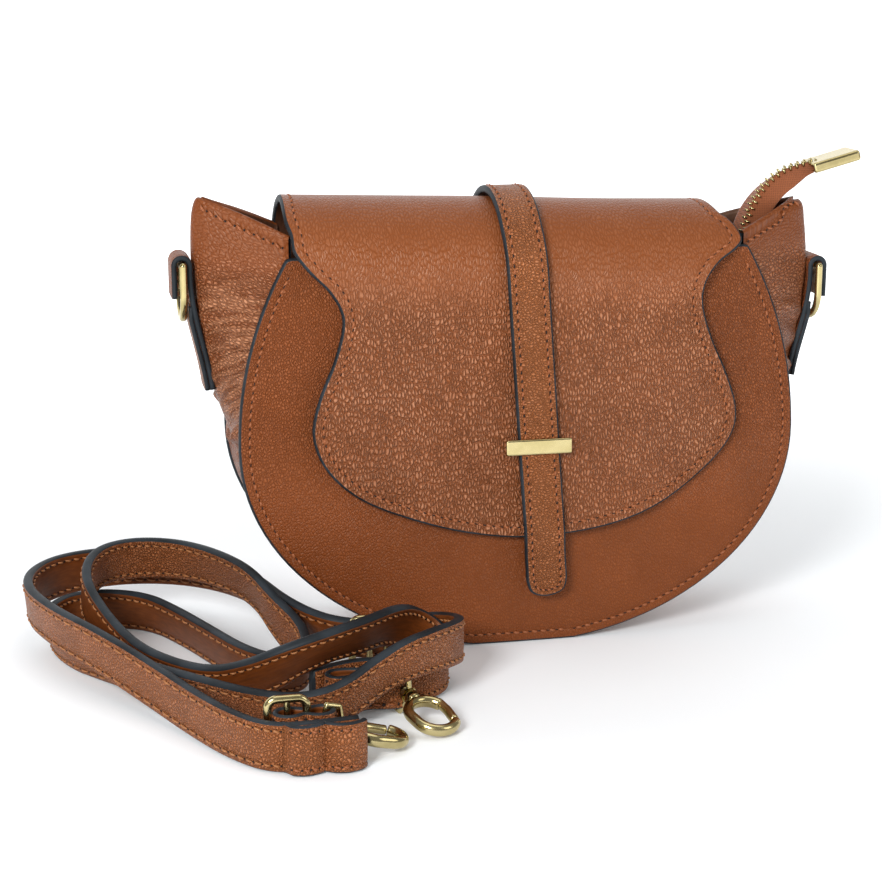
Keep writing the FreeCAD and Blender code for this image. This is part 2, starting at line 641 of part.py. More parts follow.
# name, bar position, heading in the plan, slope down to the floor, both in degrees
HOOKS = [("a", Vector(-100, -137, 11.3), 14, 15), ("b", Vector(-66, -98.5, 11.3), -64, 15)]


def make_hooks():
    for name, bar, heading, slope in HOOKS:
        turn = Rotation(Z_AXIS, heading).multiply(Rotation(Y_AXIS, slope))
        place = Placement(bar, turn)
        solid_node(f"hook_{name}_eye", hook_eye(), place)
        solid_node(f"hook_{name}_body", hook_body(), place)
        solid_node(f"hook_{name}_gate", hook_gate(), place)


def make_strap_ends():
    """Sewn loops that hold the hooks, and the two slide buckles."""
    loop_inner, loop_thick, loop_width = 2.9, 1.4, 10
    loop_a = closed_leather_loop(12, loop_inner, loop_thick, loop_width)
    solid_node("strap_loop_a", loop_a, Placement(HOOKS[0][1] + Vector(-12, 0, 0), Rotation()))
    loop_b = closed_leather_loop(22, loop_inner, loop_thick, loop_width)
    solid_node("strap_loop_b", loop_b, Placement(HOOKS[1][1] + Vector(-21.9, -1.6, 0), Rotation(Z_AXIS, 4.2)))
    buckle_height = 12.9
    buckle_a = Vector(HOOKS[0][1].x - 12, HOOKS[0][1].y, buckle_height)
    solid_node("slide_buckle_a", buckle_solid(1.2), Placement(buckle_a, Rotation()))
    solid_node("slide_buckle_b", buckle_solid(1.2),
               Placement(Vector(-69, -58.4, buckle_height), Rotation(Z_AXIS, -2)))


# ---------------------------------------------------------------- build, check and write

def faults():
    """Objects that failed, and sub-parts whose shape is missing or broken."""
    bad = [item.Label for item in doc.Objects if {"Invalid", "Error"} & set(item.State)]
    bad += [node.Label for node in nodes if node.Shape.isNull() or not node.Shape.isValid()]
    return bad


make_panels()
make_gusset()
make_flap()
make_closure()
make_snap()
make_zip()
make_tabs_and_rings()
make_strap()
make_strap_ends()
make_hooks()
doc.recompute()

broken = faults()
if broken:
    raise RuntimeError(f"broken objects: {broken}")
os.makedirs("parts", exist_ok=True)
for node in nodes:
    node.Shape.exportStep(f"parts/{node.Label}.step")
print(len(nodes), "sub-parts written")
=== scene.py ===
import json
import math

import bpy
from mathutils import Matrix, Vector, noise

# Leather saddle bag with a detached shoulder strap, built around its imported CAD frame.
# Shapes are worked out in millimetres and become metres in new_piece(); the strap's route is in metres.
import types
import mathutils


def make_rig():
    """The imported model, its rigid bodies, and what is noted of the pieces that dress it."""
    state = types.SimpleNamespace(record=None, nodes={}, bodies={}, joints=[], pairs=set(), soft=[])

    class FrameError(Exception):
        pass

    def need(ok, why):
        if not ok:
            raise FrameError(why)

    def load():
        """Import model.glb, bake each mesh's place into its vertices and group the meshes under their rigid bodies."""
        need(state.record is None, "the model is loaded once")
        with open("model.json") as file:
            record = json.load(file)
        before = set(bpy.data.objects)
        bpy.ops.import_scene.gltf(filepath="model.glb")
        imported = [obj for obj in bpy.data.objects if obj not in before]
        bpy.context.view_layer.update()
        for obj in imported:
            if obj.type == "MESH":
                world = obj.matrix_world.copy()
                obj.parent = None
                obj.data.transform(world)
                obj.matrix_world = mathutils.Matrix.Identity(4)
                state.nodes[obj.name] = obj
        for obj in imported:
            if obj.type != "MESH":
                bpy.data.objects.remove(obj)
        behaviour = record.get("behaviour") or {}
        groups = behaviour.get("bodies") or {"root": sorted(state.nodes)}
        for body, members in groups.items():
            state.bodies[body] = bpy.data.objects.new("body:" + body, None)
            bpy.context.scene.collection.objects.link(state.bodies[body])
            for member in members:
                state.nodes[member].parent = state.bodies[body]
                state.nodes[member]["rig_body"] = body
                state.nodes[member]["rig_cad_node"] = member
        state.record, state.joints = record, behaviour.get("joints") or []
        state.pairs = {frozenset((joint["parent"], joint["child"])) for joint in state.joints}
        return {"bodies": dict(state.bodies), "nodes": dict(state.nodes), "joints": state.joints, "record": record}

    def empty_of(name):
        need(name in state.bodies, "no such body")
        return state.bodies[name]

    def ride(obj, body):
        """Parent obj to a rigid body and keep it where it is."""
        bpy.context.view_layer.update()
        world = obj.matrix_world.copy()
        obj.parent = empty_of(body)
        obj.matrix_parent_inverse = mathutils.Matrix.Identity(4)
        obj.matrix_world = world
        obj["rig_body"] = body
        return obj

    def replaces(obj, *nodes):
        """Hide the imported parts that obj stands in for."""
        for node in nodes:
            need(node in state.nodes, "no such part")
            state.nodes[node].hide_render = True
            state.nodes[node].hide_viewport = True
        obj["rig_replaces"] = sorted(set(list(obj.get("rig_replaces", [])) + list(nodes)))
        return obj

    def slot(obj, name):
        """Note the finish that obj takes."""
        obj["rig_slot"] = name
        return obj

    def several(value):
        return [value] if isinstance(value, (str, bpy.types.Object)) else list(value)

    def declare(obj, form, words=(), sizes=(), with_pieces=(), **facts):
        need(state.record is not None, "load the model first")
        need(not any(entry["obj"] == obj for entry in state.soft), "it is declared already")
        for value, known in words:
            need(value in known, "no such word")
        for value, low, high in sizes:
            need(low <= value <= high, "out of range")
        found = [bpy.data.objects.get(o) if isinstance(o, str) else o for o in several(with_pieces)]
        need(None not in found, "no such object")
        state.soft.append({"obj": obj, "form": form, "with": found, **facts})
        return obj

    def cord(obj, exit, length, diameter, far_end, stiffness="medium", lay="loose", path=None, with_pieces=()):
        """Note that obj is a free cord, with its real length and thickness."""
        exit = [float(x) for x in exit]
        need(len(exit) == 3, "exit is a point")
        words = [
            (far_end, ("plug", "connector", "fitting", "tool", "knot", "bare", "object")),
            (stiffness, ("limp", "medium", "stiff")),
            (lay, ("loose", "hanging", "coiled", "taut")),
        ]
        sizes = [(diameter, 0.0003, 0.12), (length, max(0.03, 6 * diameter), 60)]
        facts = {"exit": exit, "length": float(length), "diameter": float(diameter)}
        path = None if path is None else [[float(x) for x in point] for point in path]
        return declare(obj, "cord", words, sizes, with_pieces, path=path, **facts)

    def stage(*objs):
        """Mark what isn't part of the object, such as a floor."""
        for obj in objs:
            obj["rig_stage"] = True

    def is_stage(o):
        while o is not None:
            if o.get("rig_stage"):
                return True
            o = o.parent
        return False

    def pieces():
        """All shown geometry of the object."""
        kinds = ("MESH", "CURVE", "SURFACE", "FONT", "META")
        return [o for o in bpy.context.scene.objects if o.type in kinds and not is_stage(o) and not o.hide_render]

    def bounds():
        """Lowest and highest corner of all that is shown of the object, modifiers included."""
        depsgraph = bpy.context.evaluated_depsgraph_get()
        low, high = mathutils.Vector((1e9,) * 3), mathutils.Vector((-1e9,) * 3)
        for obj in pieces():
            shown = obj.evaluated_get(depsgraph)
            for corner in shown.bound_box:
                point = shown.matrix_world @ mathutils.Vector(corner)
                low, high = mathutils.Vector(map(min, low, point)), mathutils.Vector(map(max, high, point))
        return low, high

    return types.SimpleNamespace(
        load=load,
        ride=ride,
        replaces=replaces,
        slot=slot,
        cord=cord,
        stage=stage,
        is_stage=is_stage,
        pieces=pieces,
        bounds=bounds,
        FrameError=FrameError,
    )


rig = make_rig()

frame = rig.load()
CAD_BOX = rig.bounds()
MM = 0.001
X_AXIS, Y_AXIS, Z_AXIS = Vector((1, 0, 0)), Vector((0, 1, 0)), Vector((0, 0, 1))


# ---------------------------------------------------------------- camera, floor and lights

def make_camera():
    azimuth, elevation, distance = math.radians(-12), math.radians(14), 0.83
    target = Vector((-0.028, 0, 0.0785))
    back = Vector((math.sin(azimuth) * math.cos(elevation), -math.cos(azimuth) * math.cos(elevation),
                   math.sin(elevation)))
    data = bpy.data.cameras.new("camera")
    data.sensor_width, data.lens = 36, 81.63
    camera = bpy.data.objects.new("camera", data)
    bpy.context.scene.collection.objects.link(camera)
    camera.location = target + back * distance
    camera.rotation_mode = "QUATERNION"
    camera.rotation_quaternion = (-back).to_track_quat("-Z", "Y")
    bpy.context.scene.camera = camera


def area_light(name, place, aim, size, power, colour=(1, 1, 1)):
    data = bpy.data.lights.new(name, "AREA")
    data.shape, data.size, data.energy, data.color = "SQUARE", size, power, colour
    light = bpy.data.objects.new(name, data)
    bpy.context.scene.collection.objects.link(light)
    light.location = place
    light.rotation_mode = "QUATERNION"
    light.rotation_quaternion = (Vector(aim) - Vector(place)).to_track_quat("-Z", "Y")


def make_stage():
    """A pale seamless floor, a white surround and soft lights."""
    world = bpy.data.worlds.new("studio")
    world.use_nodes = True
    background = world.node_tree.nodes["Background"]
    background.inputs["Color"].default_value = (1, 1, 1, 1)
    background.inputs["Strength"].default_value = 0.30
    bpy.context.scene.world = world
    bpy.context.scene.view_settings.view_transform = "Standard"
    area_light("key", (-0.62, -0.95, 0.62), (0, 0, 0.09), 0.32, 12.6)
    area_light("top", (0.05, 0.0, 1.3), (0, 0, 0.1), 0.9, 3.3)
    area_light("fill", (0.95, -0.8, 0.75), (0, 0, 0.08), 0.7, 3.5)
    side, depth, bend, height = 30.0, 9.0, 6.0, 24.0
    profile = [(-6 * depth, 0.0)]
    profile += [(depth + bend * math.sin(angle), bend * (1 - math.cos(angle)))
                for angle in (math.radians(9 * i) for i in range(11))]
    profile.append((depth + bend, height))
    points = [(x, y, z) for y, z in profile for x in (-side, side)]
    faces = [(2 * i, 2 * i + 1, 2 * i + 3, 2 * i + 2) for i in range(len(profile) - 1)]
    mesh = bpy.data.meshes.new("floor")
    mesh.from_pydata(points, [], faces)
    mesh.polygons.foreach_set("use_smooth", [True] * len(faces))
    floor = bpy.data.objects.new("floor", mesh)
    bpy.context.scene.collection.objects.link(floor)
    mesh.materials.append(glowing_paper())
    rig.stage(floor)


# ---------------------------------------------------------------- materials

class Nodes:
    """Short ways to add and join shader nodes."""

    def __init__(self, name):
        self.material = bpy.data.materials.new(name)
        self.material.use_nodes = True
        self.tree = self.material.node_tree
        self.surface = self.tree.nodes["Principled BSDF"]

    def add(self, kind, settings=None, **inputs):
        node = self.tree.nodes.new("ShaderNode" + kind)
        for key, value in (settings or {}).items():
            setattr(node, key, value)
        for key, value in inputs.items():
            self.feed(node, key, value)
        return node

    def feed(self, node, key, value):
        socket = node.inputs[int(key[1:]) if key[0] == "i" and key[1:].isdigit() else key]
        if isinstance(value, bpy.types.NodeSocket):
            self.tree.links.new(value, socket)
        else:
            socket.default_value = value

    def math(self, operation, a, b=0.0, clamp=False):
        node = self.add("Math", {"operation": operation, "use_clamp": clamp}, i0=a, i1=b)
        return node.outputs[0]

    def between(self, value, low, high, to_low=0.0, to_high=1.0):
        node = self.add("MapRange", {"interpolation_type": "SMOOTHSTEP"}, i0=value, i1=low, i2=high,
                        i3=to_low, i4=to_high)
        return node.outputs[0]

    def mix(self, share, a, b):
        node = self.add("Mix", {"data_type": "RGBA"}, i0=share, i6=a, i7=b)
        return node.outputs[2]

    def noise(self, place, scale, detail, **more):
        return self.add("TexNoise", Vector=place, Scale=scale, Detail=detail, **more).outputs["Fac"]

    def bump(self, strength, distance, height):
        return self.add("Bump", Strength=strength, Distance=distance, Height=height).outputs[0]

    def object_place(self):
        return self.add("TexCoord").outputs["Object"]

    def flat_place(self):
        return self.add("UVMap", {"uv_map": "flat"}).outputs[0]

    def set(self, **inputs):
        for key, value in inputs.items():
            self.feed(self.surface, key.replace("_", " "), value)
        return self.material


# The tint of the light that leather throws back.
WARM = (1.0, 0.84, 0.68, 1)


def shade(colour, share=1.0):
    """A colour made darker, with its alpha."""
    return (*(c * share for c in colour), 1)


def plain_material(name, colour, roughness):
    return Nodes(name).set(Base_Color=shade(colour), Roughness=roughness)


def glowing_paper():
    """White paper that glows with painted light, faintly near the object and more and more strongly away from it."""
    nodes = Nodes("white_paper")
    place = nodes.object_place()
    reach = nodes.add("VectorMath", {"operation": "LENGTH"}, i0=place).outputs["Value"]
    glow = nodes.between(reach, 0.15, 0.65, 0.07, 0.85)
    return nodes.set(Base_Color=(0.90, 0.925, 0.945, 1), Roughness=0.7, Emission_Color=(1, 1, 1, 1),
                     Emission_Strength=glow)


def leather(name, colour, cell=1.3, stretch=1.6, relief=1.0, gloss=0.34, light=(0.50, 0.23, 0.125),
            shine=0.5):
    """Pebbled leather: rounded pebbles parted by narrow creases, with a soft change of colour, painted highlights on
    the crests and painted shade in the creases.

    cell is the width of a pebble in millimetres, and light is the colour of the painted highlights. The mesh attribute
    "grain" scales the relief, the painted highlights and the painted shade in the creases, and darkens the base as
    painted shade where it is low;
    "wrinkle" brings in slanting wrinkles, with painted highlights along them."""
    nodes = Nodes(name)
    place = nodes.flat_place()
    spread = nodes.add("Mapping", Vector=place,
                       Scale=(1 / (cell * MM), 1 / (cell * stretch * MM), 1)).outputs[0]
    drift = nodes.add("TexNoise", Vector=spread, Scale=0.35, Detail=2.0).outputs["Color"]
    moved = nodes.add("VectorMath", {"operation": "MULTIPLY_ADD"}, i0=drift, i1=(1.9, 1.3, 0),
                      i2=spread).outputs[0]
    crease = nodes.add("TexVoronoi", {"feature": "DISTANCE_TO_EDGE", "voronoi_dimensions": "2D"},
                       Vector=moved, Scale=1.0, Randomness=1.0).outputs["Distance"]
    dome = nodes.between(crease, 0.0, 0.34)
    fine = nodes.noise(spread, 3.5, 3.0)
    grain = nodes.add("Attribute", {"attribute_name": "grain"}).outputs["Fac"]
    turned = nodes.add("Mapping", Vector=place, Rotation=(0, 0, math.radians(-38))).outputs[0]
    drawn = nodes.add("Mapping", Vector=turned, Scale=(60, 380, 1)).outputs[0]
    folds = nodes.noise(drawn, 1.0, 2.0, Distortion=0.8)
    wrinkle = nodes.math("MULTIPLY", nodes.between(folds, 0.36, 0.62),
                         nodes.add("Attribute", {"attribute_name": "wrinkle"}).outputs["Fac"])
    height = nodes.math("ADD", dome, nodes.math("MULTIPLY", fine, 0.30))
    height = nodes.math("ADD", height, nodes.math("MULTIPLY", wrinkle, 1.6))
    bump = nodes.bump(nodes.math("MULTIPLY", grain, relief, clamp=True), 0.00062 * cell, height)
    patch = nodes.noise(place, 28.0, 3.0)
    base = nodes.mix(nodes.between(patch, 0.3, 0.7), shade(colour, 0.80), shade(colour))
    # Painted shade: where the grain attribute is low, as on the flap's roll and low on the panels, the base is
    # darkened.
    base = nodes.mix(nodes.between(grain, 0.2, 0.9, 1.0, 0.0), base, shade(colour, 0.72))
    # Painted highlight: the pebbles' crests and the wrinkles are lightened towards the light colour, more in some
    # patches than in others.
    highlight_patch = nodes.noise(place, 55.0, 3.0)
    crest_highlight = nodes.math("MULTIPLY", nodes.between(crease, 0.04, 0.42),
                       nodes.between(highlight_patch, 0.30, 0.70, 0.22, 0.55))
    crest_highlight = nodes.math("ADD", crest_highlight, nodes.math("MULTIPLY", wrinkle, 0.55), clamp=True)
    base = nodes.mix(nodes.math("MULTIPLY", crest_highlight, grain), base, shade(light))
    # Painted shade: the creases between the pebbles are darkened.
    hollow_shade = nodes.math("MULTIPLY", nodes.math("SUBTRACT", 1.0, dome), nodes.math("MULTIPLY", grain, 0.34))
    base = nodes.mix(hollow_shade, base, shade(colour, 0.36))
    rough = nodes.math("ADD", nodes.math("MULTIPLY", fine, 0.14), gloss)
    return nodes.set(Base_Color=base, Roughness=rough, Normal=bump, Specular_Tint=WARM,
                     Specular_IOR_Level=nodes.between(grain, 0.1, 0.9, 0.4 * shine, shine))


def edge_paint():
    """Slate edge paint, slightly uneven in tone and surface."""
    nodes = Nodes("edge_paint")
    place = nodes.object_place()
    lump = nodes.noise(place, 420.0, 3.0)
    wide = nodes.noise(place, 60.0, 2.0)
    base = nodes.mix(nodes.between(wide, 0.35, 0.7), (0.009, 0.012, 0.015, 1), (0.022, 0.029, 0.036, 1))
    bump = nodes.bump(0.35, 0.0002, lump)
    return nodes.set(Base_Color=base, Roughness=0.55, Normal=bump, Specular_IOR_Level=0.22)


def smooth_leather(name, colour):
    """Smooth leather with a faint fibrous streak, for the strap's back and the linings."""
    nodes = Nodes(name)
    place = nodes.flat_place()
    streak = nodes.noise(nodes.add("Mapping", Vector=place, Scale=(900, 160, 1)).outputs[0], 1.0, 4.0)
    pores = nodes.add("TexVoronoi", {"voronoi_dimensions": "2D"}, Vector=place,
                      Scale=1500.0).outputs["Distance"]
    base = nodes.mix(nodes.between(streak, 0.25, 0.75), shade(colour, 0.62), shade(colour))
    height = nodes.math("ADD", streak, nodes.math("MULTIPLY", pores, 0.4))
    bump = nodes.bump(0.22, 0.0002, height)
    return nodes.set(Base_Color=base, Roughness=0.5, Normal=bump, Specular_Tint=WARM, Specular_IOR_Level=0.35)


def thread(name, colour):
    """Waxed thread with a twist."""
    nodes = Nodes(name)
    place = nodes.object_place()
    twist = nodes.add("TexWave", {"bands_direction": "DIAGONAL"}, Vector=place, Scale=900.0,
                      Distortion=1.0).outputs["Fac"]
    base = nodes.mix(twist, shade(colour, 0.6), shade(colour))
    bump = nodes.bump(0.4, 0.0001, twist)
    return nodes.set(Base_Color=base, Roughness=0.55, Normal=bump)


def gold():
    """Pale gold plate with faint handling marks."""
    nodes = Nodes("pale_gold")
    place = nodes.object_place()
    smear = nodes.noise(place, 160.0, 4.0)
    tint = nodes.mix(nodes.between(smear, 0.3, 0.7), (0.42, 0.345, 0.160, 1), (0.54, 0.450, 0.225, 1))
    rough = nodes.between(smear, 0.2, 0.8, 0.13, 0.24)
    scratch = nodes.noise(place, 2600.0, 2.0)
    bump = nodes.bump(0.05, 0.0001, scratch)
    return nodes.set(Base_Color=tint, Metallic=1.0, Roughness=rough, Normal=bump)


def woven(name, colour, thread_width=0.45):
    """Plain weave for the lining and the zip tape."""
    nodes = Nodes(name)
    place = nodes.object_place()
    scale = 1 / (thread_width * MM) / 2 / 3.2
    warp, weft = (nodes.add("TexWave", {"bands_direction": way}, Vector=place, Scale=scale,
                            Distortion=0.4).outputs["Fac"] for way in "XZ")
    cross = nodes.math("MAXIMUM", warp, weft)
    patch = nodes.noise(place, 45.0, 3.0)
    base = nodes.mix(cross, shade(colour, 0.45), shade(colour))
    base = nodes.mix(nodes.between(patch, 0.3, 0.8, 0.0, 0.3), base, shade(colour, 0.6))
    bump = nodes.bump(0.5, 0.0002, cross)
    return nodes.set(Base_Color=base, Roughness=0.85, Normal=bump, Sheen_Weight=0.2)


COGNAC = (0.275, 0.072, 0.0170)
STRAP_COGNAC = (0.375, 0.112, 0.0300)
PANEL_COGNAC = (0.222, 0.053, 0.0105)
PEBBLED = leather("pebbled_leather", COGNAC, cell=1.15, stretch=2.2, gloss=0.30, shine=0.55)
FINE = leather("fine_leather", PANEL_COGNAC, cell=0.95, stretch=1.5, relief=0.75, gloss=0.36,
               light=(0.32, 0.10, 0.034), shine=0.34)
STRAP_FACE = leather("strap_leather", STRAP_COGNAC, cell=1.35, stretch=0.8, light=(0.47, 0.19, 0.088),
                     shine=0.4)
# The strap's smooth back is made much darker than its face, as painted shade on the inner faces of the loops.
STRAP_BACK = smooth_leather("strap_back_leather", (0.17, 0.043, 0.007))
GUSSET = leather("gusset_leather", PANEL_COGNAC, cell=1.3, stretch=1.1, relief=0.8, gloss=0.32,
                 light=(0.44, 0.18, 0.085))
LINING_LEATHER = smooth_leather("lining_leather", (0.105, 0.042, 0.022))
EDGE = edge_paint()
BROWN_THREAD = thread("brown_thread", (0.36, 0.105, 0.028))
TAN_THREAD = thread("tan_thread", (0.43, 0.165, 0.05))
# Painted shade: dark discs at the stitch holes stand for the shade inside them.
HOLE_SHADE = plain_material("stitch_hole_shade", (0.018, 0.006, 0.003), 0.9)
GOLD = gold()
LINING = woven("dark_lining", (0.085, 0.036, 0.022))
TAPE = woven("zip_tape_weave", (0.27, 0.072, 0.018), 0.35)
STEEL = plain_material("plate_steel", (0.5, 0.5, 0.5), 0.35)


# ---------------------------------------------------------------- mesh helpers

def new_piece(name, points, faces, materials, face_slots, uvs=None, grain=None):
    """A smooth-shaded object from millimetre points. uvs are per point, in millimetres."""
    mesh = bpy.data.meshes.new(name)
    mesh.from_pydata([Vector(point) * MM for point in points], [], faces)
    for material in materials:
        mesh.materials.append(material)
    mesh.polygons.foreach_set("material_index", face_slots)
    mesh.polygons.foreach_set("use_smooth", [True] * len(mesh.polygons))
    if uvs is not None:
        layer = mesh.uv_layers.new(name="flat")
        flat = []
        for loop in mesh.loops:
            u, v = uvs[loop.vertex_index]
            flat += [u * MM, v * MM]
        layer.data.foreach_set("uv", flat)
    attribute = mesh.attributes.new("grain", "FLOAT", "POINT")
    attribute.data.foreach_set("value", grain if grain is not None else [1.0] * len(points))
    mesh.update()
    piece = bpy.data.objects.new(name, mesh)
    bpy.context.scene.collection.objects.link(piece)
    return piece


def attach(pieces, body, slot):
    """Each piece rides on a body of the frame and takes one of its material slots."""
    for piece in pieces:
        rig.ride(piece, body)
        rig.slot(piece, slot)


def tube_faces(first, rows, around, flip=False, closed=False):
    """Faces that join rows of around points each, numbered from first.

    flip turns them over, and closed joins the last row to the first."""
    faces = []
    for i in range(rows if closed else rows - 1):
        a, b = first + i * around, first + (i + 1) % rows * around
        for r in range(around):
            n = (r + 1) % around
            faces.append((a + r, b + r, b + n, a + n) if flip else (a + r, a + n, b + n, b + r))
    return faces


def end_faces(first, rows, around):
    """The two faces that close a tube."""
    last = first + (rows - 1) * around
    return [tuple(range(first, first + around)), tuple(reversed(range(last, last + around)))]


def course(places, i, reach=1):
    """The direction of a line of places at place i."""
    return (places[min(i + reach, len(places) - 1)] - places[max(i - reach, 0)]).normalized()


def running_lengths(line):
    """The distance along a line to each of its points."""
    lengths = [0.0]
    for a, b in zip(line, line[1:]):
        lengths.append(lengths[-1] + (b - a).length)
    return lengths


def resample(points, count, closed=True):
    """Points evenly spaced along a polyline of tuples."""
    line = [Vector(point) for point in points]
    if closed:
        line.append(line[0])
    lengths = running_lengths(line)
    steps = count if closed else count - 1
    result, k = [], 0
    for i in range(count):
        wanted = lengths[-1] * i / steps
        while k < len(line) - 2 and lengths[k + 1] < wanted:
            k += 1
        span = lengths[k + 1] - lengths[k]
        share = (wanted - lengths[k]) / span if span > 0 else 0.0
        result.append(line[k].lerp(line[k + 1], share))
    return result


def line_length(points, closed=True):
    line = [Vector(point) for point in points]
    if closed:
        line.append(line[0])
    return sum((b - a).length for a, b in zip(line, line[1:]))


def smooth_curve(points, closed=True, steps=12):
    """A Catmull-Rom curve through given points."""
    line = [Vector(point) for point in points]
    count = len(line)
    result = []
    for i in range(count if closed else count - 1):
        if closed:
            p0, p1, p2, p3 = (line[(i + k) % count] for k in (-1, 0, 1, 2))
        else:
            p0, p1, p2, p3 = (line[min(max(i + k, 0), count - 1)] for k in (-1, 0, 1, 2))
        for j in range(steps):
            t = j / steps
            result.append(0.5 * (2 * p1 + (p2 - p0) * t + (2 * p0 - 5 * p1 + 4 * p2 - p3) * t * t
                                 + (3 * p1 - p0 - 3 * p2 + p3) * t ** 3))
    if not closed:
        result.append(line[-1])
    return result


def inward_normals(outline):
    """The inward normal at each point of an anticlockwise outline."""
    count = len(outline)
    normals = []
    for i in range(count):
        along = outline[(i + 1) % count] - outline[i - 1]
        normals.append(Vector((-along.y, along.x)).normalized())
    return normals


def smoothstep(value, low, high):
    t = min(max((value - low) / (high - low), 0.0), 1.0)
    return t * t * (3 - 2 * t)


def waves(x, y, width, depth, seed):
    """A slow unevenness of the leather."""
    return depth * noise.noise(Vector((x / width, y / width, seed)))


STITCH_PITCH = 3.8
STITCH_INSET = 4.3
POINTS_PER_STITCH = 3


def stitched_outline(points, pitch=STITCH_PITCH):
    """The outline with a whole number of stitches round it, anticlockwise."""
    stitches = round(line_length(points) / pitch)
    return resample(points, stitches * POINTS_PER_STITCH)


def inset_moves(outline, spine):
    """Where each outline point heads on its way in, and its move per millimetre of inset.

    spine is the sheet's middle segment; points head for its nearest point, so rings never cross."""
    start, end = spine
    run = end - start
    aims, moves = [], []
    for point, normal in zip(outline, inward_normals(outline)):
        share = (point - start).dot(run) / run.length_squared if run.length > 0 else 0.0
        aim = start + run * min(max(share, 0.0), 1.0)
        heading = (aim - point).normalized()
        aims.append(aim)
        moves.append(heading / max(heading.dot(normal), 0.7))
    return aims, moves


def leather_sheet(name, outline, spine, surface, thick, materials, grain_of=None, groove=0.5, inner_rings=26,
                  sewn=STITCH_INSET):
    """A sheet with a rounded, painted edge and a sewn groove. surface(x, v, depth) places a point.

    materials are for the face, the edge and the back."""
    aims, moves = inset_moves(outline, spine)
    half = thick / 2
    deepest = sewn + 0.9
    front = [(deepest, 0.0), (sewn + 0.45, 0.35 * groove), (sewn, groove), (sewn - 0.45, 0.35 * groove),
             (sewn - 1.0, 0.0), (1.5, -0.06), (0.95, 0.0)]
    edge = [(0.5, 0.14), (0.15, 0.45 * half), (0.0, half), (0.15, thick - 0.45 * half), (0.5, thick - 0.14)]
    back = [(1.2, thick), (deepest, thick)]
    stations = []

    def ring(inset, depth, inward=0.0):
        row = []
        for i, (point, move, aim) in enumerate(zip(outline, moves, aims)):
            flat = (point + move * inset).lerp(aim, inward)
            between_holes = 0.2 < depth < 0.9 * half and i % POINTS_PER_STITCH
            row.append((flat.x, flat.y, depth * 0.5 if between_holes and inset > 2 else depth))
        return row

    for k in range(inner_rings):
        stations.append((ring(deepest, 0.0, 1 - k / inner_rings), 0))
    stations += [(ring(inset, depth), 0) for inset, depth in front]
    stations += [(ring(inset, depth), 1) for inset, depth in edge]
    stations += [(ring(inset, depth), 2) for inset, depth in back]
    back_rings = max(6, inner_rings // 2)
    for k in range(1, back_rings + 1):
        stations.append((ring(deepest, thick, k / back_rings), 2))
    points, uvs, grain = [], [], []
    for row, _ in stations:
        for x, v, depth in row:
            points.append(surface(x, v, depth))
            uvs.append((x, v))
            grain.append(grain_of(x, v) if grain_of else 1.0)
    faces = tube_faces(0, len(stations), len(outline), flip=True)
    slots = []
    for (_, slot), (_, next_slot) in zip(stations, stations[1:]):
        slots += [slot or next_slot] * len(outline)
    return new_piece(name, points, faces, materials, slots, uvs, grain)


def sewn_path(outline, spine, surface, depth, inset=STITCH_INSET):
    """Places and outward directions of a row of stitches inside an outline."""
    _, moves = inset_moves(outline, spine)
    path = []
    for i in range(0, len(outline), POINTS_PER_STITCH):
        flat = outline[i] + moves[i] * inset
        here = Vector(surface(flat.x, flat.y, depth))
        out = (Vector(surface(flat.x, flat.y, depth - 1)) - here).normalized()
        path.append((here, out))
    return path


def stitches(name, path, thread, closed=False, radius=0.54, share=0.66, slant=0.12, hole_radius=0.76):
    """Threads from hole to hole along a path of (place, outward direction), and a dark cone of painted shade at each
    hole.

    share is how much of the pitch a thread covers, and slant how far its ends lie to the side."""
    points, faces, slots = [], [], []
    around, along, lift, hole_rise = 6, 5, 0.14, 0.16
    count = len(path) if closed else len(path) - 1
    for i in range(count):
        (a, out_a), (b, out_b) = path[i], path[(i + 1) % len(path)]
        span = b - a
        if span.length < 0.5 or span.length > 3 * STITCH_PITCH:
            continue
        out = (out_a + out_b).normalized()
        side = span.cross(out).normalized()
        middle = (a + b) / 2
        half = span * (share / 2)
        start = len(points)
        for s in range(along):
            t = -1 + 2 * s / (along - 1)
            swell = radius * (0.55 + 0.45 * math.sqrt(max(0.0, 1 - t * t)))
            rise = lift + 0.32 * (1 - t * t) - 0.25 * t ** 4
            core = middle + half * t + side * (slant * 2 * t) + out * rise
            for r in range(around):
                turn = 2 * math.pi * r / around
                points.append(core + side * (swell * math.cos(turn)) + out * (swell * 0.8 * math.sin(turn)))
        sides = tube_faces(start, along, around)
        faces += sides + [tuple(reversed(end)) for end in end_faces(start, along, around)]
        slots += [0] * (len(sides) + 2)
        # A small dark cone of painted shade marks the hole.
        hole = len(points)
        points.append(a + out_a * (hole_rise + 0.08))
        points.append(a - out_a * 0.4)
        forward = span.normalized()
        for r in range(around):
            turn = 2 * math.pi * r / around
            points.append(a + forward * (hole_radius * math.cos(turn)) + side * (hole_radius * math.sin(turn))
                          + out_a * hole_rise)
        for r in range(around):
            n = (r + 1) % around
            faces.append((hole, hole + 2 + r, hole + 2 + n))
            faces.append((hole + 1, hole + 2 + n, hole + 2 + r))
            slots += [1, 1]
    return new_piece(name, points, faces, [thread, HOLE_SHADE], slots)


